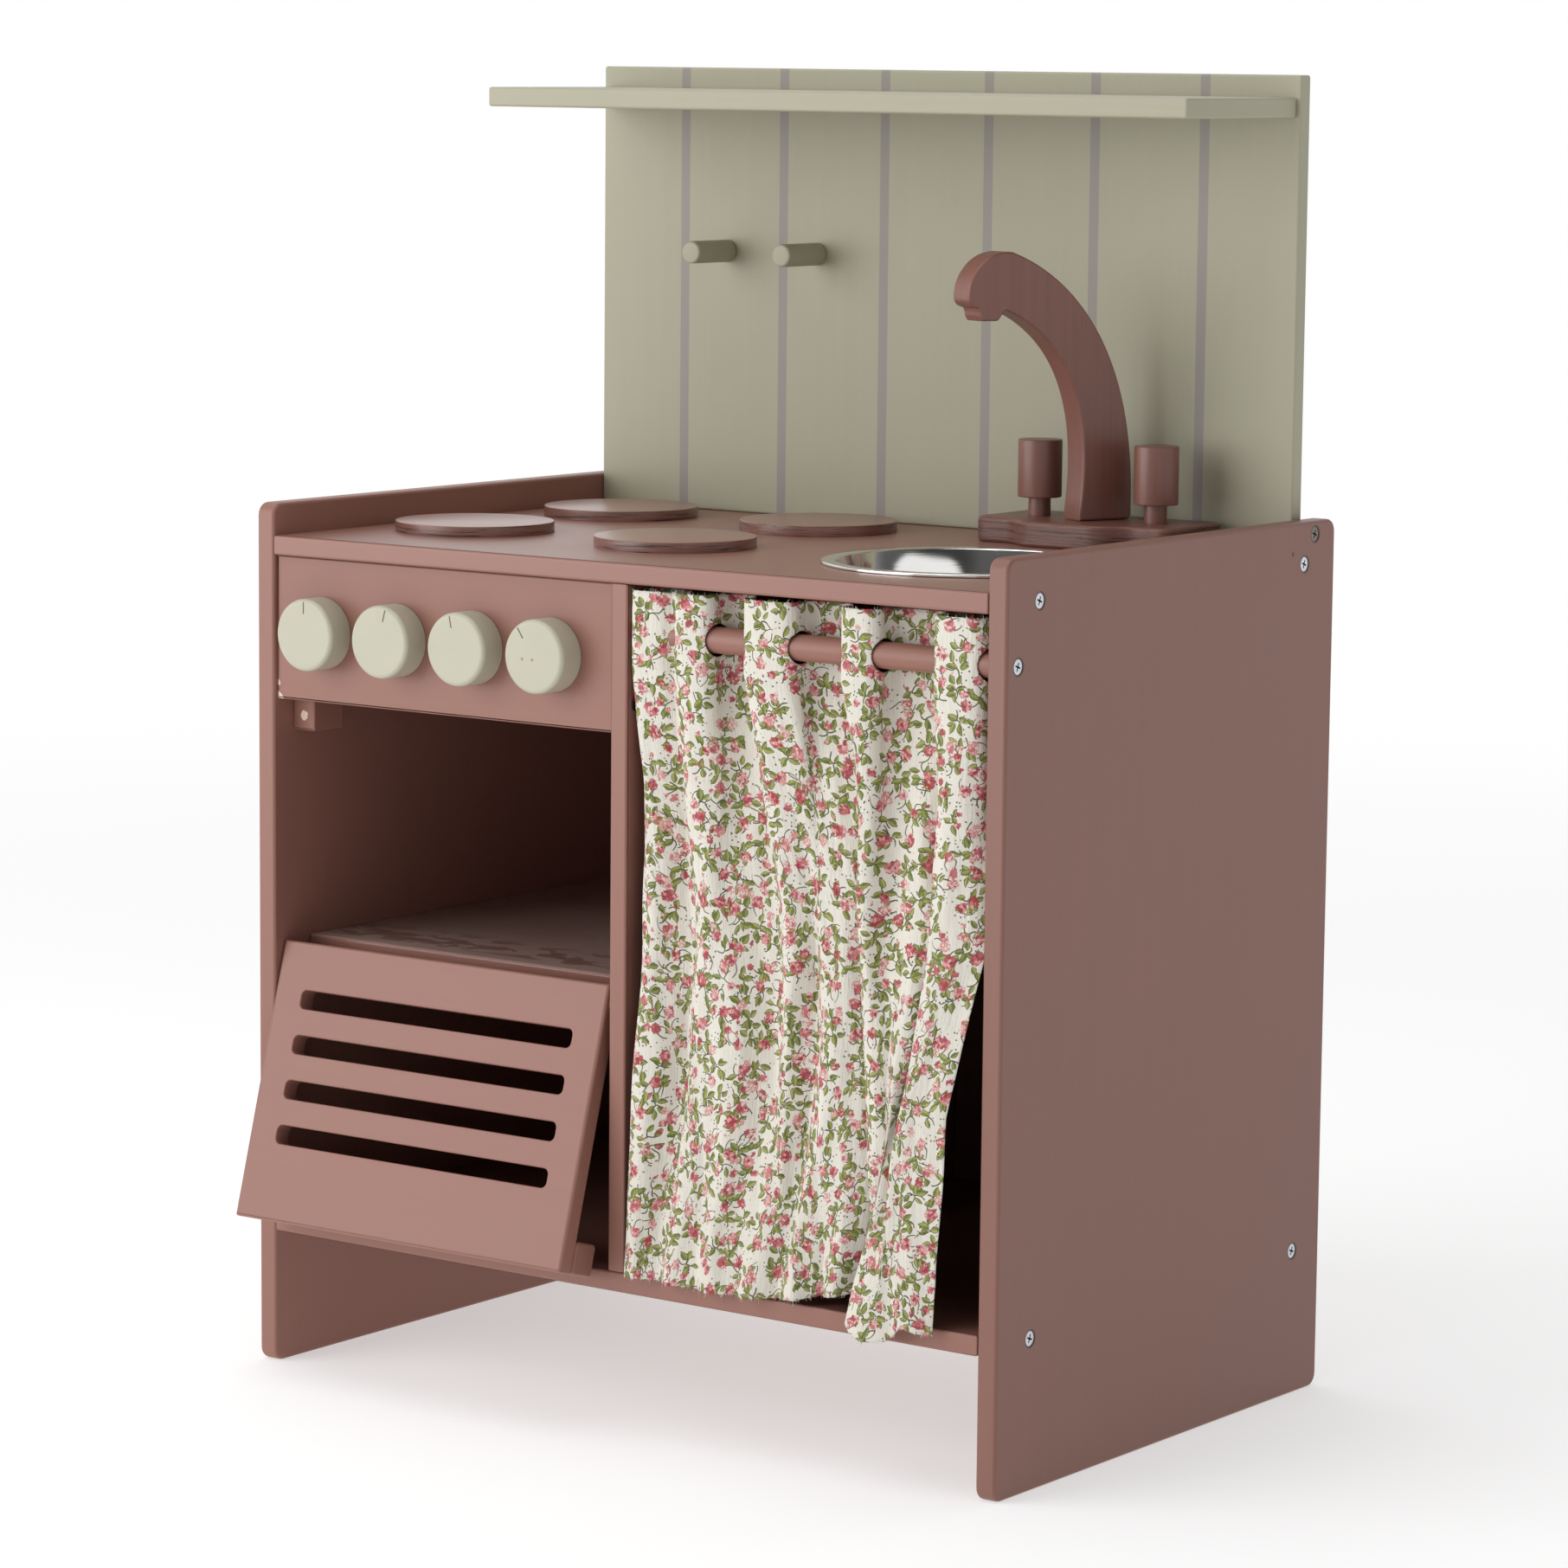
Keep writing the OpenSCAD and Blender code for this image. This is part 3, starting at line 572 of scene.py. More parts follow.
# (panel, its screws, which end of its box is outside, how far its paint is darkened as painted shade)
for side, screws, outside, painted_shade in (("side_panel_left", "screws_left", 0, 1.0),
                                     ("side_panel_right", "screws_right", 1, 0.82)):
    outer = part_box(side)[outside].x
    heads = sorted((SIDE @ Vector((u, v, outer)) for u, v in centres(screws, SIDE)),
                   key=lambda head: -head.y - head.z)
    # painted shadow: a dark ring round each screw head, as if the head sat sunk in a countersink
    marks = [(head[:], 0.0050, SCREW_SHADOW_AND_NICK, 0.10) for head in heads]
    if side == "side_panel_right":
        # a nick by the upper rear screws
        marks.append(((heads[1] + Vector((0, -0.0126, 0.0063)))[:], 0.0013, SCREW_SHADOW_AND_NICK))
    side_look = painted("rose_" + side, darker(ROSE, painted_shade), "z", spots_of_colour=marks)
    board(side, side_look, SIDE, 0.0019, 0.007, holes(screws, SIDE))
# the rearmost of the screws at the top right is an old brown one
zinc_old = brushed("bright_and_rusty_zinc", ZINC, 0.24, shaded_recesses=True, rusted=heads[0])

sink_at = middle("sink_bowl")
sink_cut = circle(sink_at.x, sink_at.y, 0.074, 128), 0.001
board("worktop", rose_top, PLAN, 0.0015, cuts=[*holes("worktop_screws", PLAN), sink_cut])
board("bottom_board", rose_x, PLAN, 0.0015, cuts=holes("bottom_screws", PLAN))
# the screw in the rod's end is hidden by the rod and the knob panel, so it gets no hole
rod_low, rod_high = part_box("curtain_rod")
divider_cuts = [(rim, edge) for rim, edge in holes("divider_screws", SIDE) if rim[0][1] < rod_low.z]
board("divider", rose_z, SIDE, 0.0015, cuts=divider_cuts)
board("oven_shelf", rose_shelf, PLAN, 0.0016, 0.0022)
board("lower_back_board", rose_shaded_lower_back, FACE, 0.0004, cuts=holes("back_board_nails", FACE, 0.00225, 0))
spindles = [middle(f"knob_{i}") for i in (1, 2, 3, 4)]
board("knob_panel", rose_panel, FACE, 0.0014, cuts=[(circle(p.x, p.z, 0.00405), 0) for p in spindles])
board("stop_block", rose_block, FACE, 0.0012, replaced=("stop_block", "door_magnet"))

# ---------------- the splashback

board("back_panel", sage_back, FACE, 0.0013, 0.0015, holes("rear_screws", FACE))
board("top_shelf", sage_plain, PLAN, 0.0015, 0.0015)
for node in ("peg_left", "peg_right"):
    at = shifted((middle(node).x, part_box(node)[1].y, middle(node).z)) @ FACE
    turned(node, "painted_" + node, sage_plain, at, rod_profile(6.5, 0, 36.5, 1.6))

# ---------------- the oven door

door = shifted(at_front(0, 9.9, 229.5)) @ Matrix.Rotation(math.radians(-15.8), 4, "X")
u0, u1, v0, v1 = (d * MM for d in (-237, -6.5, -146, 10))
SLOT_TOP, SLOT_PITCH, SLOT_HIGH, SLOT_HALF = 0.0265, 0.0253, 0.0106, 0.096
slots = []
for k in range(4):
    top, across = v1 - SLOT_TOP - SLOT_PITCH * k, (u0 + u1) / 2
    slots.append((rectangle(across - SLOT_HALF, top - SLOT_HIGH, across + SLOT_HALF, top, 0.0034), 0.0007))
plate("painted_oven_door", "oven_door", rose_x, door @ FACE,
      [(rectangle(u0, v0, u1, v1, 0.0012), 0.0016), *slots], -0.0055, 0.0055, ("oven_door",))
plate("painted_door_handle", "oven_door", rose_small, door @ SIDE,
      [(rectangle(0.0055, v0, 0.023, v0 + 0.018, 0.0025), 0.0015)], u0, u1, ("door_handle",))

# ---------------- hob and sink

for node in ("hob_front_left", "hob_front_right", "hob_rear_left", "hob_rear_right"):
    at = shifted((*middle(node).xy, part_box(node)[0].z)) @ PLAN
    disc = eased([(0, 0), (44.5, 0), (44.5, 6), (0, 6)], [0, 0.2, 0.6, 0], closed=False)
    turned(node, "painted_" + node, rose_hob, at, disc)


def bowl_side(off):
    """The bowl's wall in section, from the middle of its floor up: off is 0 inside and 1 outside."""
    r = 22 + off
    turns = [math.radians(a) for a in range(0, 91, 6)]
    return [(0, -46 - off)] + [(40 + r * math.sin(a), -24 - r * math.cos(a)) for a in turns]


rim = eased([(69, -6), (73, 0), (79.5, 0), (79.5, 1.6), (71.2, 1.6), (68, -6)], [0, 0.4, 0.1, 0.8, 1.6, 0],
            closed=False)
# the rim rests on the worktop, with a hair of clearance
turned("sink_bowl", "spun_sink_bowl", steel, shifted((*sink_at.xy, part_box("worktop")[1].z + 0.0003)) @ PLAN,
       bowl_side(1) + rim + bowl_side(0)[::-1], "sink_bowl")

# ---------------- the tap

tap = shifted((0.134, FRONT + 0.2605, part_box("tap_base")[0].z))
BASE_HIGH, ABOVE_BASE, HANDLE_FROM_SPOUT = 0.014, 0.0143, 0.038
# the base from above, with a bow in its front edge, and the spout from the side, in mm
bow = [(-64, -27.5), *bezier((-44, -27.5), (-32, -27.5), (-30, -39), (-16, -39), 14),
       *bezier((16, -39), (30, -39), (32, -27.5), (44, -27.5), 14), (44, -27.5),
       (64, -27.5), (64, 30.5), (-64, 30.5)]
base_outline = eased([(u * MM, v * MM) for u, v in bow], [0.008] + [0] * (len(bow) - 4) + [0.008] * 3)
base_cuts = [(circle(d, 0, r), 0.0004)
             for d, r in ((-HANDLE_FROM_SPOUT, 0.0063), (HANDLE_FROM_SPOUT, 0.0063), (0, 0.0051))]
base_cuts += [(circle(d, 0.017, 0.002, 20), 0) for d in (-0.018, 0.018)]
plate("painted_tap_base", "cabinet", rose_tap_base, tap @ PLAN,
      [(base_outline, 0.0020), *base_cuts], 0, BASE_HIGH, ("tap_base",))

side_view = [(-17, 2), (-16.5, 0), (15, 0), (17, 2),
             *bezier((17, 12), (17, 92), (-21, 133), (-62, 147), 30),
             *bezier((-62, 147), (-78, 149), (-90, 136), (-90, 123), 16),
             *bezier((-90, 123), (-90, 120), (-88, 117.5), (-84, 117), 6),
             *bezier((-84, 117), (-82.5, 115), (-83, 113), (-82, 110.5), 4),
             (-81, 110), (-71.5, 110), (-70, 111),
             *bezier((-68, 114), (-67, 115.5), (-66.5, 115.5), (-65.5, 115.5), 4),
             *bezier((-65.5, 115.5), (-22, 98.5), (-9, 57), (-17, 2), 30)[:-1]]
spout_at = tap @ shifted((0, 0, ABOVE_BASE)) @ Matrix.Rotation(math.radians(-24), 4, "Z")
plate("painted_tap_spout", "tap_spout", rose_tap, spout_at @ SIDE,
      [([(u * MM, v * MM) for u, v in side_view], 0.0013)], -0.0085, 0.0085, ("tap_spout",))
turned("spout_pivot", "spout_pin", dowel_wood, spout_at @ PLAN, rod_profile(5, -14, 17, 0.3),
       "tap_spout")
for side, d in (("left", -HANDLE_FROM_SPOUT), ("right", HANDLE_FROM_SPOUT)):
    at = tap @ shifted((d, 0, ABOVE_BASE)) @ PLAN
    body = "tap_handle_" + side
    turned(body, "painted_" + body, rose_tap, at, rod_profile(12.25, 10, 42, 0.7), body)
    turned("tap_stem_" + side, "painted_tap_stem_" + side, rose_tap, at, rod_profile(6.2, -14, 23, 0.3), body)

# ---------------- rod and knobs

rod_at = shifted((rod_low.x, middle("curtain_rod").y, middle("curtain_rod").z)) @ SIDE
rod = turned("curtain_rod", "painted_curtain_rod", rose_small, rod_at,
             rod_profile(7, 0, (rod_high.x - rod_low.x) / MM, 0.2))

# ink in the line that is engraved in each knob, turned as far as the photograph shows it
ink = painted("pointer_ink", INK, "z", figure=0.2, rough=0.6)
pointer = rectangle(-0.0004, 0.0119, 0.0004, 0.0183, 0.0001)
for node, turn in (("knob_1", 0), ("knob_2", 15), ("knob_3", -12), ("knob_4", -35)):
    face = shifted((middle(node).x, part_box(node)[0].y, middle(node).z)) @ FACE
    plate(node + "_pointer", node, ink, face @ Matrix.Rotation(math.radians(-turn), 4, "Z"),
          [(pointer, 0)], -0.0006, -0.0001)

# ---------------- CAD pieces that are shown as they are

knob_marks = [((middle("knob_4") + Vector((x, -0.008, -0.0015)))[:], 0.0009, CREAM_SPOT)
              for x in (-0.0072, -0.0004)]
for look, nodes in (
        (knob_paint("cream_knob"), ("knob_1", "knob_2", "knob_3")),
        (knob_paint("cream_marked_knob", knob_marks), ("knob_4",)),
        (dowel_wood, ("knob_spindle_1", "knob_spindle_2", "knob_spindle_3", "knob_spindle_4",
                      "door_pivots", "handle_dowels", "divider_dowels")),
        (zinc, ("screws_left", "divider_screws", "bottom_screws", "rear_screws", "worktop_screws",
                "back_board_nails")),
        (zinc_old, ("screws_right",))):
    for node in nodes:
        mesh = bpy.data.objects[node].data
        mesh.materials.clear()
        mesh.materials.append(look)


# ---------------- the curtain

# The cloth from above, as (x, y) in mm, y from the front edges: round the rod, halfway down, at the hem
HEADER = [(38, 19.5), (20, 19.5), (11.6, 15), (10.6, 8), (10.9, 3), (15, 0.4), (29, 1.2), (36.5, 5.5),
          (42, 1), (56, 1.2), (61, 6), (61.5, 14), (66, 19.8), (77, 19.8), (83, 14), (82.5, 6), (88, 1.2),
          (108, 1), (114.5, 6), (115, 14), (121, 19.8), (138, 19.8), (145, 14), (144.5, 6), (149.5, 1.2),
          (162, 1.2), (167.5, 6), (168, 14), (175, 19.8), (195, 19.8), (203, 14), (202.5, 6), (208, 1.2),
          (226, 1.2), (233, 6), (234, 14), (236.5, 18)]
HALFWAY = [(36, 8), (23, 6), (19.5, 2), (23, -3.5), (33, -5), (44, 4), (50, 6), (60, -3), (72, -5),
           (86, -3), (98, 4), (108, 6), (118, -2), (126, 3), (132, 6), (142, -3), (154, -4), (166, 2),
           (178, 6), (172, 2), (165, -3), (172, -7), (180, -1), (186, -2), (196, -6), (206, 1), (212, 3),
           (206, -2), (204, -5), (212, -8), (224, -5), (237, -2)]
HEM = [(34, -3), (18, -4), (14.5, -7), (22, -11), (31, -5), (36, -4), (46, -10), (56, -5), (62, -4),
       (72, -10), (82, -5), (88, -4), (98, -9), (108, -4), (114, -2), (124, -8), (134, -1), (140, 1),
       (150, -6), (160, 2), (168, 4), (180, 2), (185, -1), (178, -5), (166, -6), (162, -9), (167, -14),
       (178, -16), (187, -11), (198, -13), (210, -7)]
# The hem's height in mm, at shares of the cloth's width
HEM_RISE = [(0, 88.5), (0.05, 88), (0.12, 87.5), (0.30, 86), (0.42, 87.5), (0.50, 90), (0.64, 97),
            (0.76, 97), (0.80, 92), (0.82, 84), (0.87, 77), (0.91, 78.5), (0.94, 87), (1, 84)]
# How far the free edge is drawn to the right, by height, both in mm
EDGE_PULL = [(80, 5), (111, 3), (151, -4), (199, -9), (235, -6.5), (285, -1), (457, 0)]
EDGE_FROM, EDGE_SPAN = 0.80, 0.16           # the shares of the width over which that pull grows
CUT = (0.345, 0.372)                        # the flat cut's width and length
ACROSS, DOWN = 300, 130                     # points in the cloth's grid
FINE = 1200                                 # points along each of its runs
TOP_Z, HOOK_Z = 454.0, 415.0                # the top edge, and where the cloth starts to fall free, in mm
ROD_Y, ROD_Z, EYELET = 10.6, 430.0, 8.8     # the rod's axis, and the radius of the holes that it goes through
FRAY_TOP, FRAY_HEM = 0.5, 0.35              # how ragged the cut edges are, in mm
THREAD_RADIUS = 0.00013


def smooth_run(keys, count):
    """A smooth curve through the keys: count points evenly spaced along it, and its length."""
    p = np.array(keys, float)
    p = np.vstack([2 * p[0] - p[1], p, 2 * p[-1] - p[-2]])
    t = np.linspace(0, 1, 24, endpoint=False)[:, None]
    spans = []
    for i in range(1, len(p) - 2):
        a, b, c, d = p[i - 1:i + 3]
        spans.append(0.5 * (2 * b + (c - a) * t + (2 * a - 5 * b + 4 * c - d) * t**2
                            + (3 * b - a - 3 * c + d) * t**3))
    run = np.vstack([*spans, p[-2:-1]])
    for _ in range(14):
        run[1:-1] = (run[:-2] + 2 * run[1:-1] + run[2:]) / 4
    along = np.concatenate([[0], np.cumsum(np.linalg.norm(np.diff(run, axis=0), axis=1))])
    at = np.linspace(0, along[-1], count)
    return np.stack([np.interp(at, along, run[:, k]) for k in (0, 1)], 1), along[-1]


def ripple(s, z, waves):
    """A sum of long soft waves, for what no fold accounts for."""
    total = np.zeros_like(s)
    for size, per_s, per_z, shift in waves:
        total += size * np.sin(per_s * s + per_z * z + shift)
    return total


rng = np.random.default_rng(SEED)
header, header_long = smooth_run(HEADER, FINE)
halfway, _ = smooth_run(HALFWAY, FINE)
hem, _ = smooth_run(HEM, FINE)
fray = np.convolve(rng.normal(0, 1, FINE + 8), np.ones(9) / 9, "valid")


def cloth_point(s, z):
    """Where the cloth lies, in mm, at share s of its width and at height z when it hangs plumb."""
    def along(run):
        return np.stack([np.interp(s * (FINE - 1), np.arange(FINE), run[:, k]) for k in (0, 1)], -1)

    rise = np.interp(s, *zip(*HEM_RISE))
    t = np.clip((HOOK_Z - z) / (HOOK_Z - rise), 0, None)[..., None]
    u = t * t * (3 - 2 * t) * 0.35 + t * 0.65
    # the quadratic through the three runs, at u = 0, 0.5 and 1
    xy = along(header) * (2 * u * u - 3 * u + 1)
    xy = xy + along(halfway) * (4 * u - 4 * u * u) + along(hem) * (2 * u * u - u)
    loose = np.clip((HOOK_Z + 6 - z) / 60, 0, 1)
    across = ripple(s, z, ((0.7, 31, 0.045, 1.0), (0.4, 74, -0.08, 3.0)))
    outward = ripple(s, z, ((0.55, 55, 0.031, 0.4), (0.40, 97, -0.052, 2.0), (0.28, 160, 0.09, 4.1)))
    x, y = xy[..., 0] + loose * across, xy[..., 1] + loose * outward
    x = x + np.interp(z, *zip(*EDGE_PULL)) * np.clip((s - EDGE_FROM) / EDGE_SPAN, 0, 1)
    return np.stack([x, y, z], -1)


def from_crossing(crossing):
    """How far the grid's points are from a crossing of the rod: along the cloth, up, and straight."""
    arc, lift = (S - crossing) * header_long, HEIGHT - ROD_Z
    return arc, lift, np.hypot(arc, lift)


share = np.linspace(0, 1, ACROSS)
rise = np.interp(share, *zip(*HEM_RISE)) + FRAY_HEM * np.interp(share, np.linspace(0, 1, FINE), fray)
top = TOP_Z + FRAY_TOP * np.interp(share, np.linspace(1, 0, FINE), fray)
S = np.repeat(share[None], DOWN, 0)
HEIGHT = top[None] + (rise - top)[None] * np.linspace(0, 1, DOWN)[:, None]
behind = header[:, 1] - ROD_Y
crossings = [(i + 0.5) / (FINE - 1) for i in range(FINE - 1) if behind[i] * behind[i + 1] < 0]
# the cloth is cut away where the rod goes through, and the points left inside a hole move out to its rim
gone = np.any([from_crossing(crossing)[2] < EYELET for crossing in crossings], axis=0)
kept = ~(gone[:-1, :-1] & gone[1:, :-1] & gone[:-1, 1:] & gone[1:, 1:])
for crossing in crossings:
    arc, lift, away = from_crossing(crossing)
    push = EYELET / np.maximum(away, 0.3)
    S = np.where(away < EYELET, crossing + arc * push / header_long, S)
    HEIGHT = np.where(away < EYELET, ROD_Z + lift * push, HEIGHT)
points = cloth_point(S, HEIGHT) * MM
points[..., 1] += FRONT
cut = np.stack([S * CUT[0], (TOP_Z - HEIGHT) * MM, np.zeros_like(S)], -1)
corners = [i * ACROSS + j for i in range(DOWN - 1) for j in range(ACROSS - 1) if kept[i, j]]
faces = np.array([(k, k + ACROSS, k + ACROSS + 1, k + 1) for k in corners])
used = np.unique(faces)
faces = np.searchsorted(used, faces).tolist()


def cloth_mesh(name, verts, polygons, flat):
    """A cloth object that keeps, at each point, where it lay on the flat cut."""
    mesh = bpy.data.meshes.new(name)
    mesh.from_pydata([tuple(v) for v in verts], [], polygons)
    mesh.polygons.foreach_set("use_smooth", [True] * len(polygons))
    mesh.attributes.new("cut", "FLOAT_VECTOR", "POINT").data.foreach_set("vector", np.asarray(flat).ravel())
    obj = bpy.data.objects.new(name, mesh)
    bpy.context.scene.collection.objects.link(obj)
    return obj


curtain = cloth_mesh("curtain", points.reshape(-1, 3)[used], faces, cut.reshape(-1, 3)[used])
thicken = curtain.modifiers.new("thickness", "SOLIDIFY")
thicken.thickness, thicken.offset = 0.00045, 0

# Sizes on the print are in mm. A pattern of scattered cells is (its size, its disorder, its seed)
ROSE_CELLS = 14.5, 0.80, 3.0
SPRAY_CELLS = 13.0, 0.75, 19.0
FULL_TURN = 6.283
HALF_TURN = 3.1416


class Print(Look):
    """Ivory cotton with a crinkled weave, printed with sprays of small roses."""

    def __init__(self, name):
        super().__init__(name)
        flat = self.node("Attribute", attribute_name="cut").outputs["Vector"]
        self.mm = self.times(flat, 1000.0)
        wobble = self.node("TexNoise", {"Vector": self.mm, "Scale": 0.16, "Detail": 1.0}).outputs["Color"]
        self.wobble = self.vector("SUBTRACT", wobble, (0.5, 0.5, 0.5))
        self.drawn = self.wobbled(2.4)
        self.ragged, self.shaky = self.noise(self.mm, 0.75, 2, 0.6), self.noise(self.mm, 1.3, 1, 0.5)
        petal_at = self.times(self.wobbled(3.0), 1 / 1.75)
        self.dab = self.node("SeparateColor", {0: self.scatter(petal_at, 1.0)["Color"]}).outputs
        self.seam = self.step(self.scatter(petal_at, 1.0, "DISTANCE_TO_EDGE")["Distance"], 0.16, 0.04)
        self.colour = self.mix(self.noise(self.mm, 0.05, 2), IVORY, darker(IVORY, 0.97))
        self.stems(ROSE_CELLS, 0, ((0.16, 0.0, 9.5), (-0.13, 2.6, 8.0)))
        self.stems(SPRAY_CELLS, 1, ((0.12, 0.0, 6.0), (-0.10, 2.3, 4.8), (0.15, 4.2, 6.4)))
        self.leaves((5.6, 0.55, 11.0), 5.3)
        self.leaves((6.4, 0.55, 29.0), 6.3)
        self.roses((11.0, 0.80, 41.0), 0.38, 1.6, 2.6)
        self.roses(ROSE_CELLS, 1.0, 2.7, 3.7)
        self.roses((7.5, 0.80, 67.0), 0.16, 0.8, 1.4)
        self.dots()
        self.weave()

    def wobbled(self, by):
        return self.vector("ADD", self.mm, self.times(self.wobble, by))

    def ink(self, mask, colour):
        self.colour = self.mix(mask, self.colour, colour)

    def scatter(self, at, disorder, feature="F1"):
        inputs = {"Vector": at, "Scale": 1.0, "Randomness": disorder}
        return self.node("TexVoronoi", inputs, voronoi_dimensions="2D", feature=feature).outputs

    def cells(self, at, pattern):
        """(the vector from the nearest cell's middle, that middle, its three random numbers)"""
        size, disorder, seed = pattern
        shift = (seed, seed * 1.7, 0)
        moved = self.vector("ADD", self.times(at, 1 / size), shift)
        near = self.scatter(moved, disorder)
        offset = self.times(self.vector("SUBTRACT", moved, near["Position"]), size)
        centre = self.times(self.vector("SUBTRACT", near["Position"], shift), size)
        return offset, centre, self.node("SeparateColor", {0: near["Color"]}).outputs

    def polar(self, offset):
        x, y, _ = self.parts(offset)
        return self.math("ARCTAN2", y, x), self.vector("LENGTH", offset)

    def stems(self, pattern, channel, arms):
        """Thin stems that curl out from the middle of each cell. arms: (curl, direction, reach)"""
        offset, _, pick = self.cells(self.drawn, pattern)
        angle, far = self.polar(offset)
        for curl, direction, reach in arms:
            bend = self.scaled(far, curl, self.scaled(pick[channel], FULL_TURN, direction))
            apart = self.math("WRAP", self.math("SUBTRACT", angle, bend), HALF_TURN, -HALF_TURN)
            across = self.product(self.math("ABSOLUTE", apart), far)
            line = self.product(self.step(across, 0.50, 0.26), self.step(far, reach, reach - 0.5))
            self.ink(self.product(line, 0.93), STEM)

    def leaves(self, pattern, outer):
        """Leaves that stand round the middle of each spray, as far as outer."""
        size = pattern[0]
        offset, centre, pick = self.cells(self.drawn, pattern)
        lean, far = self.polar(self.cells(centre, SPRAY_CELLS)[0])
        there = self.product(self.math("GREATER_THAN", far, 1.1), self.math("LESS_THAN", far, outer),
                             self.math("LESS_THAN", pick[2], 0.90))
        twist = self.math("ADD", self.centred(pick[1]), lean)
        turned_back = self.node("VectorRotate", {"Vector": offset, "Angle": self.product(twist, -1.0)},
                                rotation_type="Z_AXIS").outputs[0]
        x, y, _ = self.parts(turned_back)
        along = self.math("DIVIDE", x, size * 0.50)
        taper = self.math("SUBTRACT", 1.0, self.product(along, along))
        taper = self.product(taper, self.scaled(along, -0.20, 1.0))
        inside = self.math("SUBTRACT", self.product(taper, size * 0.26), self.math("ABSOLUTE", y))
        inside = self.scaled(self.centred(self.shaky), 0.5, inside)
        shape = self.product(self.step(inside, -0.04, 0.10), there)
        # one side of the rib is lighter than the other
        lit = self.product(self.step(y, -0.12, 0.12), 0.85)
        green = self.mix(lit, self.mix(pick[0], *LEAF_DARK), self.mix(pick[0], *LEAF_LIGHT))
        green = self.mix(self.product(self.step(inside, 0.46, 0.16), 0.90), green, LEAF_RIM)
        self.ink(self.product(shape, 0.96), green)

    def roses(self, pattern, presence, smallest, largest):
        """Roses or buds in a share of the cells, dabbed in pinks."""
        offset, _, pick = self.cells(self.drawn, pattern)
        radius = self.remap(pick[2], smallest, largest)
        radius = self.scaled(self.centred(self.ragged), 3.4, radius)
        radius = self.scaled(self.centred(self.dab[1]), 0.9, radius)
        flower = self.step(self.math("SUBTRACT", radius, self.vector("LENGTH", offset)), -0.10, 0.12)
        if presence < 1:
            flower = self.product(flower, self.math("LESS_THAN", pick[0], presence))
        lit = self.math("ADD", self.dab[0], self.product(self.centred(pick[1]), 0.7))
        tone = PETALS[0]
        for petal, low, high in zip(PETALS[1:], (0.16, 0.42, 0.70), (0.28, 0.56, 0.86)):
            tone = self.mix(self.step(lit, low, high), tone, petal)
        tone = self.mix(self.product(self.seam, 0.65), tone, PETAL_SEAM)
        self.ink(self.product(flower, 0.92), tone)

    def dots(self):
        """Dots like seeds, in groups."""
        offset, centre, pick = self.cells(self.drawn, (2.6, 0.9, 57.0))
        grouped = self.step(self.noise(centre, 0.11, 1), 0.51, 0.55)
        dot = self.product(self.step(self.vector("LENGTH", offset), 0.60, 0.42), grouped,
                           self.math("LESS_THAN", pick[0], 0.6))
        self.ink(self.product(dot, 0.9), DOT)

    def weave(self):
        """The weave, and the crinkle and the puckers that run down it."""
        x, y, _ = self.parts(self.mm)
        warp, weft = (self.math("SINE", self.product(v, per_mm)) for v, per_mm in ((x, 13.0), (y, 15.0)))
        weave = self.product(warp, weft)
        crinkle = self.noise(self.stretched(self.mm, (1.0, 0.07, 1.0)), 0.85, 4, 0.65, 0.5)
        pucker = self.noise(self.stretched(self.mm, (1.0, 0.45, 1.0)), 0.30, 3, 0.6, 0.3)
        slub = self.noise(self.stretched(self.mm, (0.2, 6.0, 1.0)), 0.9, 2)
        self.colour = self.times(self.colour, self.scaled(weave, 0.022, self.remap(crinkle, 0.93, 1.05)))
        height = self.scaled(crinkle, 2.4, self.product(weave, 0.10))
        height = self.scaled(slub, 0.15, self.scaled(pucker, 2.2, height))
        self.set(Base_Color=self.colour, Roughness=0.92, Sheen_Weight=0.12, Sheen_Roughness=0.6,
                 Specular_IOR_Level=0.15, Normal=self.bump(height, 0.00042, 0.9),
                 Subsurface_Weight=0.12, Subsurface_Scale=0.002)
        self.shader.inputs["Subsurface Radius"].default_value = (1.0, 0.85, 0.7)


printed = Print("printed_cotton_cloth").owner
curtain.data.materials.append(printed)


def threads(name, starts, flats, ways, look):
    """Short loose threads, each a thin three-sided tube in three lengths, tapered to half."""
    verts, polygons, flat = [], [], []
    for start, cut_at, way in zip(starts, flats, ways):
        long = rng.uniform(0.5, 1.9) * MM * (2.0 if rng.random() < 0.06 else 1.0)
        side = rng.normal(0, 0.35, 3)
        first = len(verts)
        for k in range(4):
            t = k / 3
            centre = start + way * long * (t - 0.15) + side * long * t * t * 0.8
            r = THREAD_RADIUS * (1 - 0.5 * t)
            for a in (0, 2.1, 4.2):
                verts.append(centre + np.array([r * math.cos(a), r * math.sin(a), 0]))
                flat.append(cut_at)
        for k in range(3):
            for a in range(3):
                b = (a + 1) % 3
                i, j = first + 3 * k, first + 3 * (k + 1)
                polygons.append((i + a, i + b, j + b, j + a))
        polygons += [(first + 2, first + 1, first), (first + 9, first + 10, first + 11)]
    obj = cloth_mesh(name, verts, polygons, flat)
    obj.data.materials.append(look)
    return obj


def edge_points(row, at):
    """Places along a row of the grid: (where they hang, where they lay on the flat cut)."""
    i = at.astype(int)
    f = (at - i)[:, None]
    return [run[row, i] * (1 - f) + run[row, i + 1] * f for run in (points, cut)]


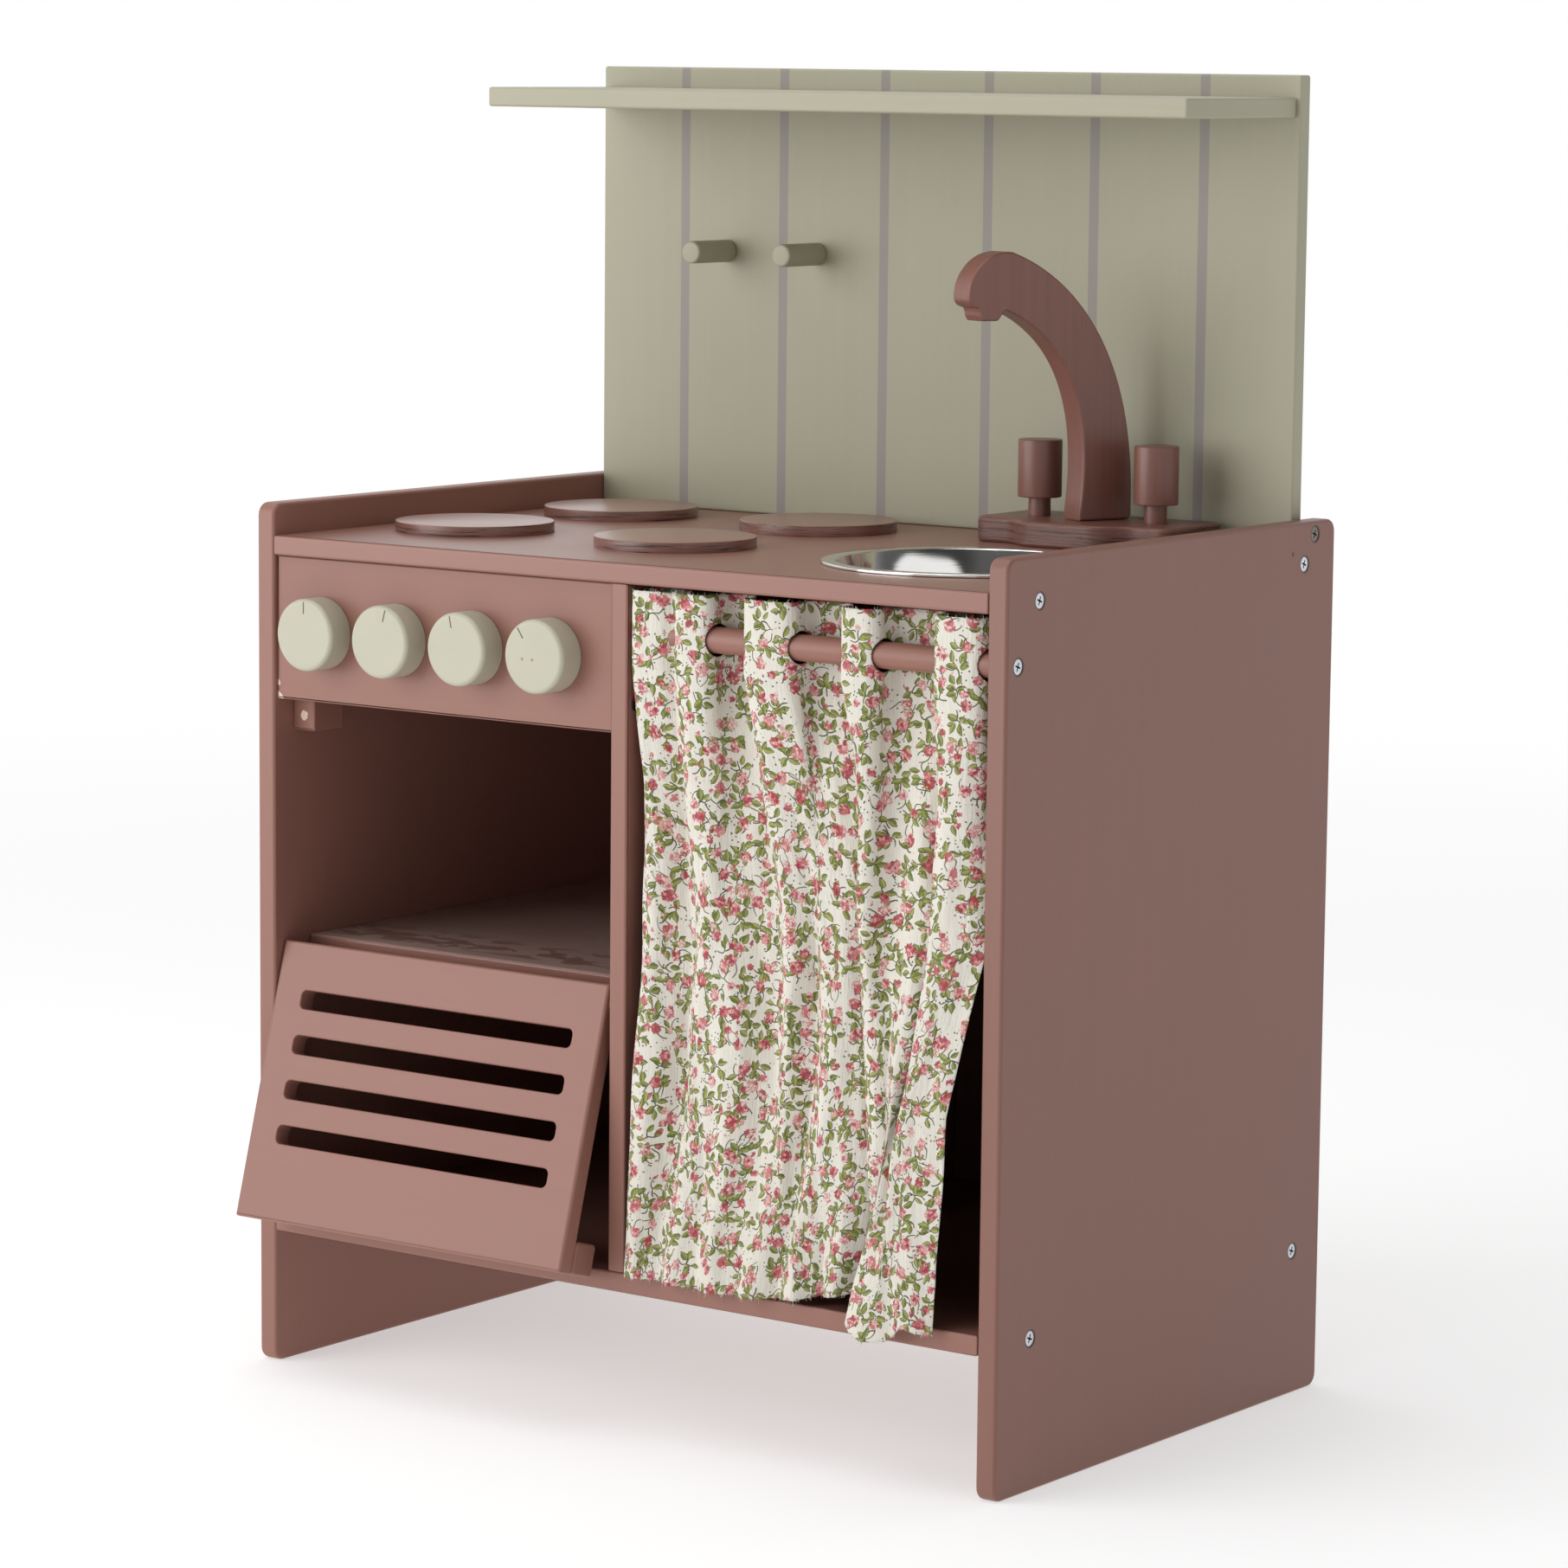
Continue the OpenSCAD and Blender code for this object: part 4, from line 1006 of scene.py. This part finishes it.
hem_at, top_at = (np.sort(rng.uniform(0, ACROSS - 1.001, count)) for count in (330, 260))
(hem_starts, hem_flats), (top_starts, top_flats) = edge_points(DOWN - 1, hem_at), edge_points(0, top_at)
fringe = threads("curtain_frayed_threads", np.vstack([hem_starts, top_starts]),
                 np.vstack([hem_flats, top_flats]),
                 np.array([[0, 0, -1.0]] * len(hem_at) + [[0, 0, 1.0]] * len(top_at)), printed)

for cloth in (curtain, fringe):
    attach(cloth, "cabinet")
    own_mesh(cloth)
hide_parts("curtain_cloth", "curtain_edge")

# ---------------- camera, floor and light

# the photograph's viewpoint, fitted to the object's corners
azimuth, dip, roll = (math.radians(a) for a in (36.129, 7.786, 0.552))
forward = Vector((-math.sin(azimuth) * math.cos(dip), math.cos(azimuth) * math.cos(dip), -math.sin(dip)))
level = Vector((math.cos(azimuth), math.sin(azimuth), 0))
upright = level.cross(forward)
right = level * math.cos(roll) + upright * math.sin(roll)
up = upright * math.cos(roll) - level * math.sin(roll)
camera_data = bpy.data.cameras.new("camera")
camera_data.lens, camera_data.sensor_width, camera_data.clip_end = 124.10, 36, 50
camera = bpy.data.objects.new("camera", camera_data)
camera.matrix_world = Matrix((right, up, -forward)).transposed().to_4x4()
camera.matrix_world.translation = (1.7454, FRONT - 2.23664, 0.73845)
scene = bpy.context.scene
scene.collection.objects.link(camera)
scene.camera = camera


def floor_look():
    """Pale underfoot, and as white as the backdrop far away."""
    g = Look("pale_floor")
    at = g.object_points()
    away = g.step(g.vector("LENGTH", at), 0.5, 3.2)
    cloud = g.remap(g.noise(at, 1.5, 2), 0.63, 0.65)
    base = g.times((1.0, 1.0, 1.0), g.product(cloud, g.math("SUBTRACT", 1.0, away)))
    g.set(Base_Color=base, Roughness=0.9, Specular_IOR_Level=0.0, Emission_Color=(1, 1, 1),
          Emission_Strength=g.remap(away, 0.49, 1.0))
    return g.owner


reach = 15
floor_mesh = bpy.data.meshes.new("floor")
floor_mesh.from_pydata([(-reach, -reach, 0), (reach, -reach, 0), (reach, reach, 0), (-reach, reach, 0)],
                       [], [(0, 1, 2, 3)])
floor_mesh.materials.append(floor_look())
floor = bpy.data.objects.new("floor", floor_mesh)
scene.collection.objects.link(floor)


def softbox(name, stand, aim, size, power):
    """An area light at stand, turned to aim: its size in metres and its power in watts."""
    data = bpy.data.lights.new(name, "AREA")
    data.shape, data.size, data.size_y, data.energy = "RECTANGLE", *size, power
    lamp = bpy.data.objects.new(name, data)
    lamp.matrix_world = (Vector(aim) - Vector(stand)).to_track_quat("-Z", "Y").to_matrix().to_4x4()
    lamp.matrix_world.translation = stand
    scene.collection.objects.link(lamp)


softbox("key", (-2.2, -3.1, 1.40), (0, 0, 0.4), (3.5, 3.1), 104)
softbox("overhead", (-0.2, -0.5, 2.7), (0, 0, 0.3), (2.0, 2.0), 26)

DIM_ROOM, DARK_CORNER = 0.11, 0.45          # the studio's upper half in front, and its share at the right


def studio_world():
    """White along the skyline and behind, a dim room higher up in front, with one window."""
    world = bpy.data.worlds.new("studio")
    g = Graph(world)
    way = g.node("TexCoord").outputs["Generated"]
    height = g.parts(way)[2]
    behind = g.step(g.vector("DOT_PRODUCT", way, (-0.60, 0.80, 0)), -0.1, 0.85)
    corner = g.step(g.vector("DOT_PRODUCT", way, (0.75, -0.35, 0.56)), 0.80, 0.96)
    room = g.product(g.scaled(behind, 1 - DIM_ROOM, DIM_ROOM), g.scaled(corner, DARK_CORNER - 1, 1.0))
    strength = g.scaled(g.math("SUBTRACT", room, 1.0), g.step(height, 0.10, 0.32), 1.0)
    # a low wide window on the right, which the sink's wall shows
    window = g.product(g.step(height, 0.33, 0.38), g.step(height, 0.66, 0.58),
                       g.step(g.vector("DOT_PRODUCT", way, (0.97, -0.24, 0)), 0.70, 0.76))
    sky = g.tree.nodes["Background"]
    sky.inputs["Color"].default_value = (1, 1, 1, 1)
    g.tree.links.new(g.math("MAXIMUM", strength, window), sky.inputs["Strength"])
    return world


scene.world = studio_world()
scene.view_settings.view_transform = "Standard"
